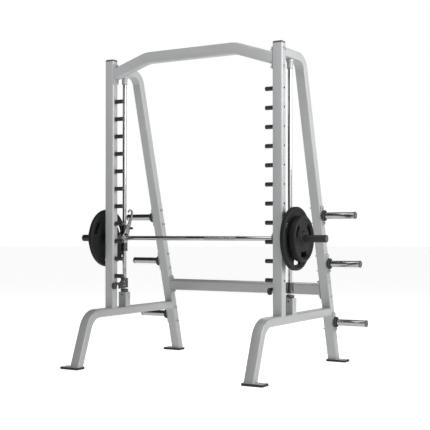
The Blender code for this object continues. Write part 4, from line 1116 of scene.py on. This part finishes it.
# A card is its name, distance, first and last bearing, lower and upper height, and glow.
# A lamp is its name, place, size and power.
studio = {"floor": 60.0, "glow": 0.86, "camera": (3.557, -5.972, 0.968), "pitch": 90.73, "yaw": 30.43,
          "lens": 79.3, "shiftY": 0.0133,
          "cards": (("darkCard", 7.0, -195, -98, 0.25, 3.4, 0.09),
                    ("brightCard", 7.0, -52, -8, 0.0, 5.0, 2.3)),
          "lamps": (("keyLamp", (5.8, 0.2, 3.4), 3.0, 322), ("topLamp", (0.2, -1.8, 5.8), 4.0, 120),
                    ("frontLamp", (-0.8, -5.6, 5.0), 2.6, 44), ("backLamp", (-1.5, 5.5, 4.2), 3.0, 60))}


def addSetting(name, bm, finish, glow):
    mesh = bpy.data.meshes.new(name)
    bm.to_mesh(mesh)
    bm.free()
    setting = bpy.data.objects.new(name, mesh)
    scene.collection.objects.link(setting)
    finish.shader.inputs["Emission Color"].default_value = (1, 1, 1, 1)
    finish.shader.inputs["Emission Strength"].default_value = glow
    mesh.materials.append(finish.mat)
    return setting


def makeFloor():
    bm = bmesh.new()
    bmesh.ops.create_circle(bm, cap_ends=True, segments=96, radius=studio["floor"])
    finish = Finish("studioFloor", 0.0, 0.9)
    finish.colour(grey(0.45))
    addSetting("studioFloor", bm, finish, studio["glow"])


# Curved cards that only polished surfaces see: a dark one to the left, a bright one to the right.
def makeCards():
    for name, away, start, end, low, high, glow in studio["cards"]:
        bm = bmesh.new()
        first = math.radians(start)
        foot = bm.verts.new((away * math.cos(first), away * math.sin(first), low))
        head = bm.verts.new((foot.co.x, foot.co.y, high))
        edge = bm.edges.new((foot, head))
        bmesh.ops.spin(bm, geom=[foot, head, edge], cent=(0, 0, 0), axis=upZ, angle=math.radians(end - start),
                       steps=24)
        finish = Finish(name, 0.0, 1.0, Specular_IOR_Level=0.0)
        finish.colour(grey(0.0))
        card = addSetting(name, bm, finish, glow)
        card.visible_camera = card.visible_diffuse = card.visible_shadow = card.visible_transmission = False


# Pale sky near the horizon, dark overhead, so that round bright parts show a dark line.
def makeSky():
    world = bpy.data.worlds.new("studioSky")
    scene.world = world
    world.use_nodes = True
    nodes, links = world.node_tree.nodes, world.node_tree.links
    back = nodes["Background"]
    coord = nodes.new("ShaderNodeTexCoord")
    apart = nodes.new("ShaderNodeSeparateXYZ")
    ramp = nodes.new("ShaderNodeValToRGB")
    ramp.color_ramp.elements[0].position, ramp.color_ramp.elements[0].color = 0.25, (1, 1, 1, 1)
    ramp.color_ramp.elements[1].position, ramp.color_ramp.elements[1].color = 0.36, (0.05, 0.05, 0.05, 1)
    links.new(coord.outputs["Generated"], apart.inputs[0])
    links.new(apart.outputs["Z"], ramp.inputs[0])
    links.new(ramp.outputs[0], back.inputs["Color"])
    back.inputs["Strength"].default_value = 1.0


def makeLights():
    for name, place, size, power in studio["lamps"]:
        lamp = bpy.data.lights.new(name, "AREA")
        lamp.shape, lamp.size, lamp.energy = "SQUARE", size, power
        holder = bpy.data.objects.new(name, lamp)
        scene.collection.objects.link(holder)
        holder.location = place
        target = Vector((0, 0, 1.1)) - Vector(place)
        holder.rotation_euler = target.to_track_quat("-Z", "Y").to_euler()


def makeCamera():
    lens = bpy.data.cameras.new("camera")
    lens.lens, lens.sensor_width, lens.shift_y = studio["lens"], 36.0, studio["shiftY"]
    lens.clip_end = 200
    holder = bpy.data.objects.new("camera", lens)
    holder.location = studio["camera"]
    holder.rotation_euler = (math.radians(studio["pitch"]), 0, math.radians(studio["yaw"]))
    scene.collection.objects.link(holder)
    scene.camera = holder


makeFloor()
makeCards()
makeSky()
makeLights()
makeCamera()
scene.view_settings.view_transform = "Standard"
print("studio ready")
